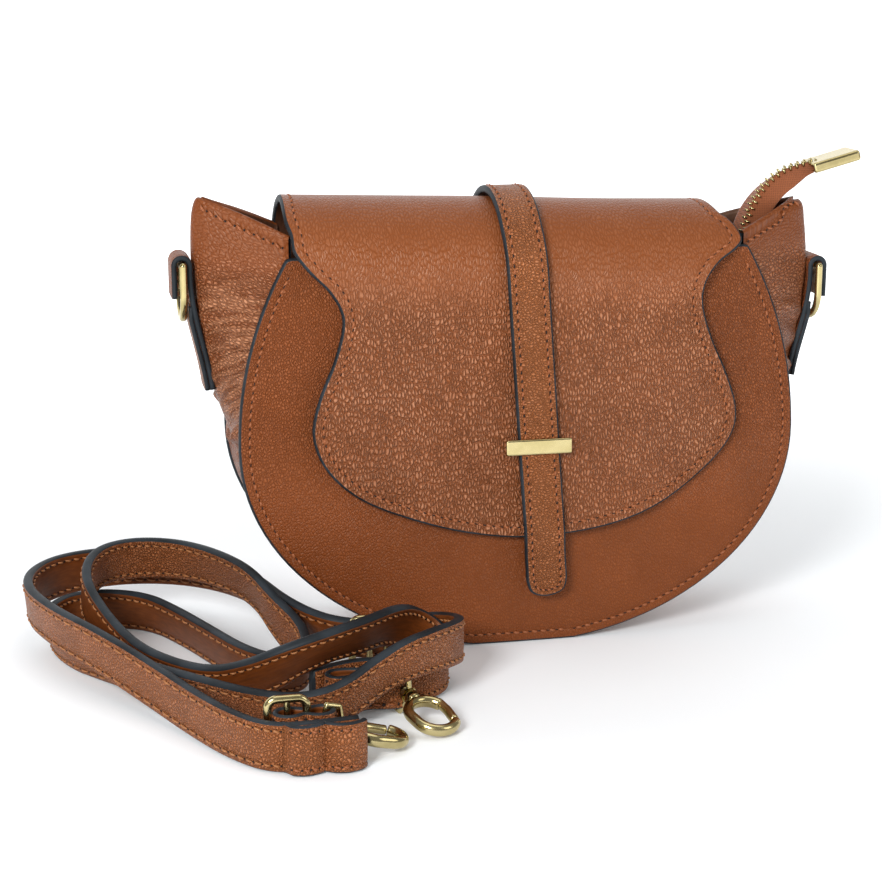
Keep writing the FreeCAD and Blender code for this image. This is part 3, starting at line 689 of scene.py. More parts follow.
def ribbon(name, places, sides, outs, width, thick, materials, closed=False, groove_inset=2.6, groove=0.3,
           crown=0.0, grain=1.0, narrowing=None):
    """A band along places. sides point across it and outs away from its face.

    materials are for the face, the edge and the back. narrowing holds each place's share of the width."""
    half, deep = width / 2, thick / 2
    sewn, brink = half - groove_inset, deep - 0.2 * groove
    face = [(half - 0.6, deep - 0.1), (half - 1.4, deep), (sewn + 0.5, brink), (sewn, deep - groove),
            (sewn - 0.5, brink), (half * 0.4, deep + crown), (0.0, deep + crown)]
    face += [(-w, t) for w, t in reversed(face[:-1])]
    rim = [(-half + 0.1, deep * 0.5), (-half, 0.0), (-half + 0.1, -deep * 0.5)]
    under = [(-w, -t) for w, t in face]
    other_rim = [(half - 0.1, -deep * 0.5), (half, 0.0), (half - 0.1, deep * 0.5)]
    profile = face + rim + under + other_rim
    kinds = [0] * (len(face) - 1) + [1] * (len(rim) + 1)
    kinds += [2] * (len(under) - 1) + [1] * (len(other_rim) + 1)
    points, uvs = [], []
    run = 0.0
    count, around = len(places), len(profile)
    for i, (place, side, out) in enumerate(zip(places, sides, outs)):
        if i:
            run += (place - places[i - 1]).length
        share = narrowing[i] if narrowing else 1.0
        for w, t in profile:
            points.append(place + side * (w * share) + out * t)
            uvs.append((w, run))
    faces = tube_faces(0, count, around, flip=True, closed=closed)
    slots = kinds * (len(faces) // around)
    if not closed:
        faces += end_faces(0, count, around)
        slots += [1, 1]
    return new_piece(name, points, faces, materials, slots, uvs, [grain] * len(points))


def ribbon_stitches(name, places, sides, outs, width, thick, material, pitch, inset=2.6, both=True,
                    skip=0):
    """Two rows of stitches on a band's face, and on its back as well if both."""
    last = len(places) - 1
    count = max(3, round(line_length(places, closed=False) / pitch))
    marks = [i * last / count for i in range(skip, count + 1 - skip)]
    pieces = []
    for face in ((1, -1) if both else (1,)):
        for edge in (1, -1):
            path = []
            for mark in marks:
                i = min(int(mark), last - 1)
                share = mark - i
                place = places[i].lerp(places[i + 1], share)
                side = sides[i].lerp(sides[i + 1], share).normalized()
                out = outs[i].lerp(outs[i + 1], share).normalized() * face
                path.append((place + side * (edge * (width / 2 - inset)) + out * (thick / 2 - 0.15), out))
            label = f"{name}_{'face' if face > 0 else 'back'}_{'upper' if edge > 0 else 'lower'}"
            pieces.append(stitches(label, path, material, radius=0.46, share=0.7, hole_radius=0.45))
    return pieces


def band_frame(places, across):
    """Side and outward directions of a band whose width runs along a fixed direction."""
    sides, outs = [], []
    for i in range(len(places)):
        along = course(places, i)
        side = (across - along * across.dot(along)).normalized()
        sides.append(side)
        outs.append(side.cross(along).normalized())
    return sides, outs


# ---------------------------------------------------------------- shoulder strap

STRAP_WIDTH, STRAP_THICK = 18.0, 3.9
STRAP_PITCH = 4.2
STRAP_ROUTE = [
    (-0.088, -0.144, 0.0094), (-0.104, -0.1455, 0.0092), (-0.119, -0.145, 0.0092), (-0.131, -0.130, 0.0094),
    (-0.142, -0.109, 0.010), (-0.156, -0.083, 0.013), (-0.173, -0.058, 0.018), (-0.189, -0.031, 0.0195),
    (-0.199, -0.002, 0.0198), (-0.196, 0.022, 0.0199), (-0.182, 0.038, 0.0198), (-0.160, 0.0435, 0.0199),
    (-0.136, 0.039, 0.0197), (-0.116, 0.022, 0.0194), (-0.104, -0.005, 0.019), (-0.096, -0.034, 0.018),
    (-0.084, -0.051, 0.0155), (-0.069, -0.054, 0.0135), (-0.053, -0.053, 0.0135), (-0.041, -0.060, 0.0160),
    (-0.0365, -0.077, 0.0200), (-0.043, -0.094, 0.0238), (-0.057, -0.105, 0.0252), (-0.072, -0.112, 0.0227),
    (-0.088, -0.117, 0.013), (-0.104, -0.118, 0.0096), (-0.120, -0.108, 0.0092), (-0.138, -0.089, 0.0093),
    (-0.155, -0.069, 0.0091), (-0.171, -0.048, 0.0093), (-0.186, -0.026, 0.0091), (-0.191, -0.004, 0.0092),
    (-0.185, 0.013, 0.0091), (-0.168, 0.019, 0.0091), (-0.150, 0.011, 0.0092), (-0.138, -0.012, 0.0091),
    (-0.127, -0.040, 0.0093), (-0.118, -0.062, 0.0091), (-0.108, -0.076, 0.0094), (-0.096, -0.073, 0.0105),
    (-0.095, -0.058, 0.014), (-0.103, -0.038, 0.020), (-0.109, -0.016, 0.026), (-0.121, 0.005, 0.028),
    (-0.137, 0.022, 0.0283), (-0.156, 0.027, 0.0282), (-0.171, 0.016, 0.0284), (-0.177, -0.004, 0.025),
    (-0.172, -0.027, 0.018), (-0.161, -0.049, 0.0122), (-0.147, -0.069, 0.0097), (-0.131, -0.086, 0.0107),
    (-0.117, -0.096, 0.0170), (-0.104, -0.101, 0.0250), (-0.090, -0.099, 0.0288), (-0.076, -0.091, 0.0290),
    (-0.064, -0.079, 0.0282), (-0.054, -0.070, 0.022), (-0.045, -0.070, 0.015), (-0.043, -0.080, 0.0105),
    (-0.050, -0.088, 0.0093),
    (-0.062, -0.090, 0.0092), (-0.075, -0.087, 0.0093), (-0.087, -0.089, 0.0092), (-0.097, -0.095, 0.0092),
]
# How far the band's upper edge tips to the left of its run, in degrees, at some of the route's points.
STRAP_LEAN = {0: 0, 4: 0, 7: 8, 9: 0, 11: -14, 14: -22, 17: -20, 19: -4, 21: 4, 22: 10, 23: 18, 25: 20,
              28: 24, 30: 18, 32: 0, 34: -16, 38: -12, 40: 0, 43: 16, 46: 8, 48: 0, 50: -22, 52: -28,
              54: -32, 56: -26, 58: 0, 60: 0, 64: 0}


def route_line(route, resolution=14):
    """The smooth line of a NURBS spline whose control points are the route's points."""
    curve = bpy.data.curves.new("route", "CURVE")
    curve.dimensions = "3D"
    spline = curve.splines.new("NURBS")
    spline.points.add(len(route) - 1)
    for point, place in zip(spline.points, route):
        point.co = (*place, 1)
    spline.order_u = 3
    spline.use_endpoint_u = True
    spline.resolution_u = resolution
    holder = bpy.data.objects.new("route", curve)
    bpy.context.scene.collection.objects.link(holder)
    mesh = bpy.data.meshes.new_from_object(holder)
    line = [vertex.co.copy() for vertex in mesh.vertices]
    bpy.data.objects.remove(holder)
    bpy.data.meshes.remove(mesh)
    bpy.data.curves.remove(curve)
    return line


def lean_at(share):
    """The band's lean, in radians, at a share of its length in route points."""
    marks = sorted(STRAP_LEAN)
    here = share * (len(STRAP_ROUTE) - 1)
    for low, high in zip(marks, marks[1:]):
        if here <= high:
            step = smoothstep(here, low, high)
            return math.radians(STRAP_LEAN[low] * (1 - step) + STRAP_LEAN[high] * step)
    return math.radians(STRAP_LEAN[marks[-1]])


def make_strap():
    """The free flat strap: pebbled face, smooth back, painted edges and two rows of tan stitches."""
    line = route_line(STRAP_ROUTE)
    places = [point / MM for point in line]
    last = len(places) - 1
    sides, outs = [], []
    for i in range(len(places)):
        along = course(places, i, reach=2)
        left = Z_AXIS.cross(along).normalized()
        lean = lean_at(i / last)
        up = Z_AXIS * math.cos(lean) + left * math.sin(lean)
        side = (up - along * up.dot(along)).normalized()
        sides.append(side)
        out = along.cross(side).normalized()
        outs.append(out if out.dot(Z_AXIS.cross(course(places, i))) > 0 else -out)
    band = ribbon("strap_band", places, sides, outs, STRAP_WIDTH, STRAP_THICK, [STRAP_FACE, EDGE, STRAP_BACK],
                  crown=0.15)
    rows = ribbon_stitches("strap_stitches", places, sides, outs, STRAP_WIDTH, STRAP_THICK, TAN_THREAD,
                           STRAP_PITCH)
    attach([band] + rows, "shoulder_strap", "strap_leather")
    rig.replaces(band, "shoulder_strap")
    return band, line, rows


make_camera()
make_stage()
STRAP = make_strap()


# ---------------------------------------------------------------- the strap's sewn ends

def sewn_loop(name, start, heading, length, height, replaced):
    """A folded strip round two upright bars, pinched and sewn between them, seen as two soft bulges."""
    turn = Matrix.Rotation(math.radians(heading), 4, "Z")
    count, bulge, pinch, thick = 120, 4.2, 2.3, 2.2
    places, outs = [], []
    for angle in (2 * math.pi * i / count for i in range(count)):
        end = length if math.cos(angle) > 0 else 0.0
        places.append(Vector((end + bulge * math.cos(angle), bulge * math.sin(angle), 0)))
    places = resample(places, count)
    middle = length / 2
    for place in places:
        squeeze = math.exp(-((place.x - middle) / (length * 0.24)) ** 2)
        place.y *= 1 - (1 - pinch / bulge) * squeeze
    for i in range(count):
        along = (places[(i + 1) % count] - places[i - 1]).normalized()
        outs.append(turn @ Vector((along.y, -along.x, 0)))
    world = [start + turn @ place for place in places]
    sides = [Z_AXIS] * count
    loop = ribbon(name, world, sides, outs, height, thick, [STRAP_FACE, EDGE, STRAP_BACK], closed=True,
                  groove_inset=2.2)
    rows = []
    for edge in (1, -1):
        path = [(world[i] + sides[i] * (edge * (height / 2 - 2.2)) + outs[i] * (thick / 2 - 0.12), outs[i])
                for i in range(0, count, 9)]
        rows.append(stitches(f"{name}_stitches_{'upper' if edge > 0 else 'lower'}", path, BROWN_THREAD,
                             closed=True, radius=0.4))
    attach([loop] + rows, "shoulder_strap", "strap_leather")
    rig.replaces(loop, replaced)
    return [loop] + rows


def make_strap_ends():
    pieces = sewn_loop("strap_end_a", Vector((-112, -137, 10.6)), 0, 12.0, 17.2, "strap_loop_a")
    pieces += sewn_loop("strap_end_b", Vector((-87.9, -100.1, 10.6)), 4.2, 22.0, 15.0, "strap_loop_b")
    return pieces + folded_end()


def folded_end():
    """The doubled leather sewn over the band's end: two soft bulges with a dip between."""
    count, height, thick, inset = 60, 18.4, 2.4, 2.4
    left, right, face_y, middle_z = -114.5, -86.5, -146.3, 9.6
    places = []
    for i in range(count + 1):
        share = i / count
        bulge = 3.3 * abs(math.sin(2 * math.pi * share)) ** 0.7 * smoothstep(share, 0, 0.12)
        tuck = 1.3 * (1 - smoothstep(share, 0.0, 0.10))
        places.append(Vector((left + (right - left) * share, face_y - 1.2 - bulge + tuck, middle_z)))
    sides, outs = band_frame(places, Z_AXIS)
    if outs[count // 2].y > 0:
        outs = [-out for out in outs]
    fold = ribbon("strap_end_fold", places, sides, outs, height, thick, [STRAP_FACE, EDGE, STRAP_BACK],
                  groove_inset=inset)
    rows = ribbon_stitches("strap_end_fold", places, sides, outs, height, thick, BROWN_THREAD, 3.4, inset,
                           both=False, skip=1)
    attach([fold] + rows, "shoulder_strap", "strap_leather")
    return [fold] + rows


# ---------------------------------------------------------------- snap hooks

RING_START, RING_END, RING_HALF = 11.0, 34.0, 9.5
RING_BAND, GATE_LINE, GATE_PIVOT, GATE_TIP = 4.0, 7.45, 15.6, 28.3
# distance along the hook's axis and radius at each turned step of the swivel
NECK = [(5.0, 2.0), (6.1, 2.0), (6.15, 1.4), (8.6, 1.4), (8.7, 2.6), (9.2, 3.0), (11.8, 3.0), (13.0, 2.3)]
# name: bar position, heading in the plan and slope down to the floor in degrees
HOOKS = {"a": (Vector((-100, -137, 11.3)), 14, 15), "b": (Vector((-66, -98.5, 11.3)), -64, 15)}


def rounded_rod(name, places, ups, radius_side, radius_up, taper):
    """A metal rod of oval section along places, closed by rounded ends."""
    around, lengths = 20, running_lengths(places)
    points = []
    for i, (place, up) in enumerate(zip(places, ups)):
        side = course(places, i).cross(up).normalized()
        end = min(lengths[i], lengths[-1] - lengths[i])
        size = math.sqrt(max(0.0, 1 - (1 - min(end / taper, 1.0)) ** 2))
        for r in range(around):
            turn = 2 * math.pi * r / around
            points.append(place + side * (radius_side * size * math.cos(turn))
                          + up * (radius_up * size * math.sin(turn)))
    faces = tube_faces(0, len(places), around) + end_faces(0, len(places), around)
    return new_piece(name, points, faces, [GOLD], [0] * len(faces))


def make_hooks():
    """Cast rings with a sprung gate, in place of the plain plates."""
    pieces = []
    for name, (bar, heading, slope) in HOOKS.items():
        turn = Matrix.Rotation(math.radians(heading), 3, "Z") @ Matrix.Rotation(math.radians(slope), 3, "Y")
        up = turn @ Z_AXIS
        half = RING_HALF - RING_BAND / 2
        near, far = RING_START + RING_HALF, RING_END - RING_HALF
        start_angle = math.acos((GATE_TIP + 0.6 - far) / half)
        far_angles = [start_angle * (1 - i / 14) for i in range(14)]
        far_angles += [-math.pi / 2 * i / 20 for i in range(20)]
        near_angles = [-math.pi / 2 - math.pi * i / 36 for i in range(34)]
        line = [(far + half * math.cos(angle), half * math.sin(angle)) for angle in far_angles]
        line += [(far + (near - far) * i / 8, -half) for i in range(8)]
        line += [(near + half * math.cos(angle), half * math.sin(angle)) for angle in near_angles]
        places = [bar + turn @ Vector((x, y, 0)) for x, y in line]
        ring = rounded_rod(f"hook_{name}_ring", places, [up] * len(places), 2.0, 2.35, 0.8)
        neck = turned_piece(f"hook_{name}_neck", NECK, bar, turn)
        attach([ring, neck], f"hook_{name}", "gold_metal")
        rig.replaces(ring, f"hook_{name}_body")
        gate_run = GATE_TIP + 0.4 - GATE_PIVOT
        gate_line = [(GATE_PIVOT + gate_run * i / 24, GATE_LINE - 1.2 * smoothstep(i, 10, 24))
                     for i in range(25)]
        gate_places = [bar + turn @ Vector((x, y, 0)) for x, y in gate_line]
        gate = rounded_rod(f"hook_{name}_lever", gate_places, [up] * len(gate_places), 1.8, 1.8, 0.7)
        attach([gate], f"hook_{name}_gate", "gold_metal")
        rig.replaces(gate, f"hook_{name}_gate")
        pieces += [ring, neck, gate]
    return pieces


def turned_piece(name, stations, origin, turn):
    """A turned metal piece on the hook's axis from (distance, radius) stations."""
    around = 24
    points = []
    for x, radius in stations:
        for r in range(around):
            angle = 2 * math.pi * r / around
            points.append(origin + turn @ Vector((x, radius * math.cos(angle), radius * math.sin(angle))))
    faces = tube_faces(0, len(stations), around, flip=True) + end_faces(0, len(stations), around)
    return new_piece(name, points, faces, [GOLD], [0] * len(faces))


STRAP_ENDS = make_strap_ends()
HARDWARE = make_hooks() + ["slide_buckle_a", "slide_buckle_b", "hook_a_eye", "hook_b_eye"]
band, line, rows = STRAP
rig.cord(band, exit=STRAP_ROUTE[0], length=1.27, diameter=0.018, far_end="fitting", stiffness="medium",
        lay="loose", path=line, with_pieces=rows + STRAP_ENDS + HARDWARE)


# ---------------------------------------------------------------- surfaces of the bag

LEAN = math.radians(2.85)
BASE_HALF_DEPTH = 33.0
PANEL_HALF, WAIST, BASE_DROP = 115.0, 85.0, 86.5
CORNER_HALF, CORNER = 94.0, 161.0
SIDE_RISE, SIDE_IN = CORNER - WAIST, PANEL_HALF - CORNER_HALF
SIDE_RADIUS = (SIDE_IN ** 2 + SIDE_RISE ** 2) / (2 * SIDE_IN)
ROLL_Y, ROLL_Z, ROLL_R = -1.55, 149.0, 30.25
ROLL_LENGTH = ROLL_R * (math.pi - 2 * LEAN)
ROLL_TILT = 0.036


def panel_line(inset=0.0, top=CORNER):
    """The panel's outline, anticlockwise in (x, z) from the right end of the flat base."""
    points = []
    half, drop = PANEL_HALF - inset, BASE_DROP - inset
    flat_angle = math.asin((WAIST - inset) / drop)
    top_angle = math.asin((top - 2.5 - WAIST) / SIDE_RADIUS)
    steps = 24
    for i in range(steps):
        angle = flat_angle * (1 - i / steps)
        points.append((half * math.cos(angle), WAIST - drop * math.sin(angle)))
    for i in range(steps + 1):
        angle = top_angle * i / steps
        points.append((half - SIDE_RADIUS * (1 - math.cos(angle)), WAIST + SIDE_RADIUS * math.sin(angle)))
    corner = points[-1][0]
    points += [(corner - 1.2, top - 0.5), (corner - 3.2, top)]
    points += [((corner - 3.2) * (1 - i / 12), top) for i in range(1, 12)]
    mirrored = [(-x, z) for x, z in reversed(points)]
    return [Vector(point) for point in points + [(0, top)] + mirrored]


def panel_surface(side, plump):
    """Places a point of a leaning panel; side is -1 in front and 1 behind."""
    def surface(x, z, depth):
        reach = math.hypot(x / PANEL_HALF, (z - WAIST) / BASE_DROP)
        full = max(0.0, 1 - reach ** 2)
        belly = plump * math.sqrt(full) * (1 - 0.55 * smoothstep(z, 60, 110))
        rim = 1.1 * smoothstep(reach, 0.80, 0.96)
        uneven = waves(x, z, 34, 0.9, 3.7 + side) * smoothstep(full, 0.0, 0.35)
        out = BASE_HALF_DEPTH - z * math.tan(LEAN) + belly + uneven - rim * 0.4 - depth
        return (x, side * out, z)
    return surface


def flap_point(x, v, out=0.0):
    """A point of the flap's outer face: v is the distance up from where the roll starts, over and down."""
    if v <= 0:
        y = ROLL_Y - ROLL_R * math.cos(LEAN) + v * math.sin(LEAN)
        z = ROLL_Z + ROLL_R * math.sin(LEAN) + v * math.cos(LEAN)
        normal = (-math.cos(LEAN), math.sin(LEAN))
    elif v < ROLL_LENGTH:
        angle = math.pi - LEAN - v / ROLL_R
        y, z = ROLL_Y + ROLL_R * math.cos(angle), ROLL_Z + ROLL_R * math.sin(angle)
        normal = (math.cos(angle), math.sin(angle))
    else:
        past = v - ROLL_LENGTH
        y = ROLL_Y + ROLL_R * math.cos(LEAN) + past * math.sin(LEAN)
        z = ROLL_Z + ROLL_R * math.sin(LEAN) - past * math.cos(LEAN)
        normal = (math.cos(LEAN), math.sin(LEAN))
    tilt = -ROLL_TILT * x * smoothstep(z, 120, 172)
    return (x, y + normal[0] * out, z + normal[1] * out + tilt)


def flap_swell(x, v):
    """How far the hanging flap stands out: a soft belly, lifted lower edge and slow waves."""
    height = ROLL_Z + v
    belly = 1.6 * math.exp(-((x / 62) ** 2) - ((height - 92) / 34) ** 2)
    lift = 0.9 * (1 - smoothstep(height, 46, 66))
    uneven = waves(x, v, 30, 0.9, 9.1)
    return (belly + lift + uneven) * (1 - smoothstep(v, -25, 10)) + waves(x, v, 45, 0.5, 2.2)


def flap_v(z):
    """The flap's v for a height on its front."""
    start = ROLL_Z + ROLL_R * math.sin(LEAN)
    if z <= start:
        return (z - start) / math.cos(LEAN)
    return ROLL_R * (math.asin((z - ROLL_Z) / ROLL_R) - LEAN)


# ---------------------------------------------------------------- panels and linings

def make_panels():
    """Both panels, stitched all round but for their top edge, and the cloth that lines them."""
    top_rows = {-1: 160.5, 1: 147.8}
    for side, label in ((-1, "front"), (1, "back")):
        outline = stitched_outline(panel_line(0, top_rows[side]))
        surface = panel_surface(side, 3.0)
        spine = (Vector((-35, 88)), Vector((35, 88)))
        # Less grain towards the bottom of the panel, which also darkens it there as painted shade.
        panel = leather_sheet(f"{label}_panel_leather", outline, spine, surface, 3.2, [FINE, EDGE, FINE],
                              grain_of=lambda x, z: 0.55 + 0.45 * smoothstep(z, 45, 95))
        path = sewn_path(outline, spine, surface, 0.5)
        path = [(place, out) for place, out in path if place.z < top_rows[side] - 5]
        row = stitches(f"{label}_panel_stitches", path, BROWN_THREAD)
        inside = stitched_outline(panel_line(7.5, top_rows[side] + (3 if side > 0 else -3)), 8)
        lining_surface = panel_surface(side, 1.2)
        lining = leather_sheet(f"{label}_lining_cloth", inside, spine,
                               lambda x, z, depth, s=lining_surface: s(x, z, depth + 3.9), 0.8,
                               [LINING, LINING, LINING], groove=0.0, inner_rings=10)
        attach([panel, row], "bag", "saddle_leather")
        attach([lining], "bag", "lining_cloth")
        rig.replaces(panel, f"{label}_panel")
        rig.replaces(lining, f"{label}_lining")


# ---------------------------------------------------------------- gusset

def rim_line():
    """Right half of the gusset's path as (x, z, normal x, normal z), from the base up to the corner."""
    rim = []
    flat_angle = math.asin(WAIST / BASE_DROP)
    flat_half = PANEL_HALF * math.cos(flat_angle)
    flat_steps, low_steps, side_steps = 8, 50, 96
    for i in range(flat_steps):
        rim.append((flat_half * i / flat_steps, 0.0, 0.0, -1.0))
    for i in range(low_steps):
        angle = flat_angle * (1 - i / low_steps)
        normal = Vector((math.cos(angle) / PANEL_HALF, -math.sin(angle) / BASE_DROP)).normalized()
        rim.append((PANEL_HALF * math.cos(angle), WAIST - BASE_DROP * math.sin(angle), normal.x, normal.y))
    top_angle = math.asin(SIDE_RISE / SIDE_RADIUS)
    for i in range(side_steps + 1):
        angle = top_angle * i / side_steps
        rim.append((PANEL_HALF - SIDE_RADIUS * (1 - math.cos(angle)), WAIST + SIDE_RADIUS * math.sin(angle),
                    math.cos(angle), math.sin(angle)))
    return rim


# side: how far the fold stands out at the top, how far the top edge is raised at the panels and at the fold,
# and how far the fold sinks
EARS = {-1: (39.8, 7.0, 3.0, 0.0), 1: (38.2, 4.0, 0.0, 3.2)}
FOLD_START, FOLD_POWER = 72.0, 1.45
ACROSS = 36


def gusset_row(rim_point, side, raise_share):
    """One line across the gusset, from the front panel to the back one."""
    x, z, normal_x, normal_z = rim_point
    ear, edge_rise, fold_rise, sink = EARS[side]
    half_depth = BASE_HALF_DEPTH - 3.0 - z * math.tan(LEAN)
    rise = max(0.0, (z - FOLD_START) / (CORNER - FOLD_START))
    fold = ear * rise ** FOLD_POWER
    round_fold = 0.22
    seat = 0.26 * smoothstep(z, 86, 102) * (1 - smoothstep(z, 138, 156))
    curl = min(1.0, (max(0.0, z - 156.5) + fold_rise * raise_share) / (4.5 + fold_rise))
    tip = 4.5 * (1 - math.sqrt(1 - curl ** 2))
    row = []
    for k in range(ACROSS + 1):
        t = -1 + 2 * k / ACROSS
        slope = max(0.0, abs(t) - seat) / (1 - seat)
        shape = 1 - (math.hypot(slope, round_fold) - round_fold) / (math.hypot(1, round_fold) - round_fold)
        belly = -2.6 * (1 - t * t) * (1 - rise) * smoothstep(z, 10, 40)
        slack = -2.2 * math.sin(math.pi * abs(t)) * rise
        away = smoothstep(1 - abs(t), 0.0, 0.25)
        slanted = z + 0.55 * t * half_depth
        wander = waves(z, t * half_depth, 14, 7.0, 8.3)
        crease = waves(slanted * 3.8 + wander, t * half_depth, 19, 3.4, 5.5 + side)
        crease *= (away * smoothstep(z, 66, 84) * (1 - smoothstep(z, 124, 146))
                   * smoothstep(abs(t), 0.22, 0.42))
        uneven = waves(z, t * half_depth, 26, 1.1, 1.3 * side) * away
        out = fold * shape - tip * shape ** 3 + belly + slack + crease + uneven * smoothstep(z, 8, 30)
        out -= 1.0 * (1 - away)
        lift = (raise_share * (edge_rise * (1 - shape) + fold_rise * shape)
                - sink * shape * smoothstep(z, 120, CORNER))
        row.append(Vector((side * (x + normal_x * out), t * half_depth,
                           max(0.05, z + normal_z * out) + lift)))
    return row


def sheet_normals(rows, outward):
    """The outward normal at each point of a grid of rows."""
    last_row, last = len(rows) - 1, len(rows[0]) - 1
    normals = []
    for i, row in enumerate(rows):
        line = []
        for k in range(last + 1):
            along = rows[min(i + 1, last_row)][k] - rows[max(i - 1, 0)][k]
            over = row[min(k + 1, last)] - row[max(k - 1, 0)]
            normal = along.cross(over).normalized()
            line.append(normal if normal.dot(outward(row[k])) > 0 else -normal)
        normals.append(line)
    return normals


def make_gusset():
    """The strip round the sides and the base, lined inside, with an ear at each end."""
    rim = rim_line()
    thick, extra = 2.4, 5
    right = [gusset_row(point, 1, 0) for point in rim]
    right += [gusset_row(rim[-1], 1, (k + 1) / extra) for k in range(extra)]
    left = [gusset_row(point, -1, 0) for point in rim[1:]]
    left += [gusset_row(rim[-1], -1, (k + 1) / extra) for k in range(extra)]
    outer = list(reversed(left)) + right
    normals = sheet_normals(outer, lambda place: Vector((place.x, 0, place.z - WAIST - 25)))
    inner = []
    for row, normal_row in zip(outer, normals):
        line = [point - normal * thick for point, normal in zip(row, normal_row)]
        inner.append([Vector((point.x, min(max(point.y, row[0].y), row[-1].y), point.z)) for point in line])
    across = ACROSS + 1

    def lip(share, rise, end):
        return [p.lerp(q, share) + Vector((0, 0, rise)) for p, q in zip(outer[end], inner[end])]

    first_lip = [lip(0.8, 1.0, 0), lip(0.5, 1.35, 0), lip(0.2, 1.0, 0)]
    last_lip = [lip(0.2, 1.0, -1), lip(0.5, 1.35, -1), lip(0.8, 1.0, -1)]
    loop = first_lip + outer + last_lip + list(reversed(inner))
    points, uvs, grain, faces, slots = [], [], [], [], []
    run = 0.0
    total = len(loop)
    for i, row in enumerate(loop):
        if i:
            run += (row[across // 2] - loop[i - 1][across // 2]).length
        for k, point in enumerate(row):
            points.append(point)
            uvs.append((point.y * 1.1, run))
            # Less grain low down and at the ears, which also makes the leather darker there.
            ear = smoothstep(point.z, 150, 164)
            grain.append((0.75 + 0.35 * smoothstep(point.z, 80, 100)) * (1 - 0.7 * ear))
    outer_rows = len(outer) + 4
    for i in range(total):
        n = (i + 1) % total
        for k in range(across - 1):
            faces.append((i * across + k, n * across + k, n * across + k + 1, i * across + k + 1))
            slots.append(0 if i < outer_rows or i == total - 1 else 1)
    first = len(first_lip)
    for i in range(len(outer) - 1):
        a, b = first + i, first + i + 1
        m, n = total - 1 - i, total - 2 - i
        for k, flip in ((0, True), (across - 1, False)):
            quad = (a * across + k, b * across + k, n * across + k, m * across + k)
            faces.append(quad if flip else tuple(reversed(quad)))
            slots.append(2)
    faces = [tuple(reversed(face)) for face in faces]
    gusset = new_piece("gusset_leather", points, faces, [GUSSET, LINING_LEATHER, EDGE], slots, uvs, grain)
    wrinkled = [smoothstep(-p.x, 100, 106) * smoothstep(p.z, 82, 100) * (1 - smoothstep(p.z, 140, 158))
                * smoothstep(abs(p.y), 6, 10) for p in points]
    gusset.data.attributes.new("wrinkle", "FLOAT", "POINT").data.foreach_set("value", wrinkled)
    attach([gusset], "bag", "saddle_leather")
    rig.replaces(gusset, "gusset", "gusset_lining")
    for side, label in ((-1, "left"), (1, "right")):
        rows = outer[:9] if side < 0 else list(reversed(outer[-9:]))
        ear_line = []
        drop_rows = 4.2
        for k in range(across):
            column = [row[k] for row in rows]
            walked = 0.0
            place = column[0]
            for a, b in zip(column, column[1:]):
                step = (b - a).length
                if walked + step >= drop_rows:
                    place = a.lerp(b, (drop_rows - walked) / step)
                    break
                walked += step
            ear_line.append(place)
        for part, span in (("front", ear_line[1:across // 2 - 1]), ("back", ear_line[across // 2 + 2:-1])):
            count = max(3, round(line_length(span, closed=False) / STITCH_PITCH))
            marks = resample(span, count, closed=False)
            path = []
            for i, place in enumerate(marks):
                out = course(marks, i).cross(Z_AXIS).normalized()
                if out.x * side < 0:
                    out = -out
                path.append((place + out * 0.2, out))
            row = stitches(f"ear_{label}_{part}_stitches", path, BROWN_THREAD, slant=0.3, hole_radius=0.5)
            attach([row], "bag", "saddle_leather")


# ---------------------------------------------------------------- flap

# The flap's sides as (x, height on the front), upwards on the right and downwards on the left.
FLAP_RIGHT = [(0, 46), (31, 48.5), (56, 57), (76, 71), (86.5, 84), (88, 96), (83.5, 110), (77, 125),
              (73.5, 139), (75, 149), (80.5, 157), (88, 162.5), (91, 166), (90, 170),
              (87.5, 173.5), (84, 176.5)]
FLAP_LEFT = [(-94.5, 173), (-92.8, 166.5), (-92, 160.5), (-86.5, 153.5), (-79.5, 147), (-74.8, 140),
             (-74, 133), (-77.5, 121), (-84, 105), (-86.5, 91), (-81, 77), (-68, 65), (-48, 56), (-24, 49)]
FLAP_THICK = 3.1
# How far the flap runs down behind, past the end of the roll.
FLAP_TAIL = 14.0


def flap_outline():
    """The flap cut flat, anticlockwise in (x, v)."""
    half = CORNER_HALF
    top = ROLL_LENGTH + FLAP_TAIL
    right = [(x, flap_v(z)) for x, z in FLAP_RIGHT]
    left = [(x, flap_v(z)) for x, z in FLAP_LEFT]
    back = [(82, 50), (87, 66), (half - 2, 84), (half - 0.5, top - 5), (half - 5, top), (half - 35, top),
            (0, top), (-half + 35, top), (-half + 5, top), (-half + 0.5, top - 5), (-half, 84), (-half, 62),
            (-half, 48)]
    return [Vector(point) for point in right + back + left]


def flap_surface(x, v, depth):
    """A point of the flap, swollen, at a depth under its face."""
    return flap_point(x, v, flap_swell(x, v) - depth)


def flap_grain(x, v):
    """The leather is drawn smooth where it rolls over the top; the low grain there also darkens the roll as painted
    shade.
    """
    smooth_band = smoothstep(v, -18, 8) * (1 - smoothstep(v, 70, 90))
    return 1.0 - 0.68 * smooth_band


def make_flap():
    """The flap in one sheet, from its edge in front, over the roll and down behind."""
    outline = stitched_outline(smooth_curve(flap_outline(), steps=8))
    spine = (Vector((0, -20)), Vector((0, 50)))
    flap = leather_sheet("flap_leather", outline, spine, flap_surface, FLAP_THICK,
                         [PEBBLED, EDGE, LINING_LEATHER], grain_of=flap_grain, inner_rings=34)
    row = stitches("flap_stitches", sewn_path(outline, spine, flap_surface, 0.5), BROWN_THREAD, closed=True)
    attach([flap, row], "flap", "saddle_leather")
    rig.replaces(flap, "flap", "flap_lining")


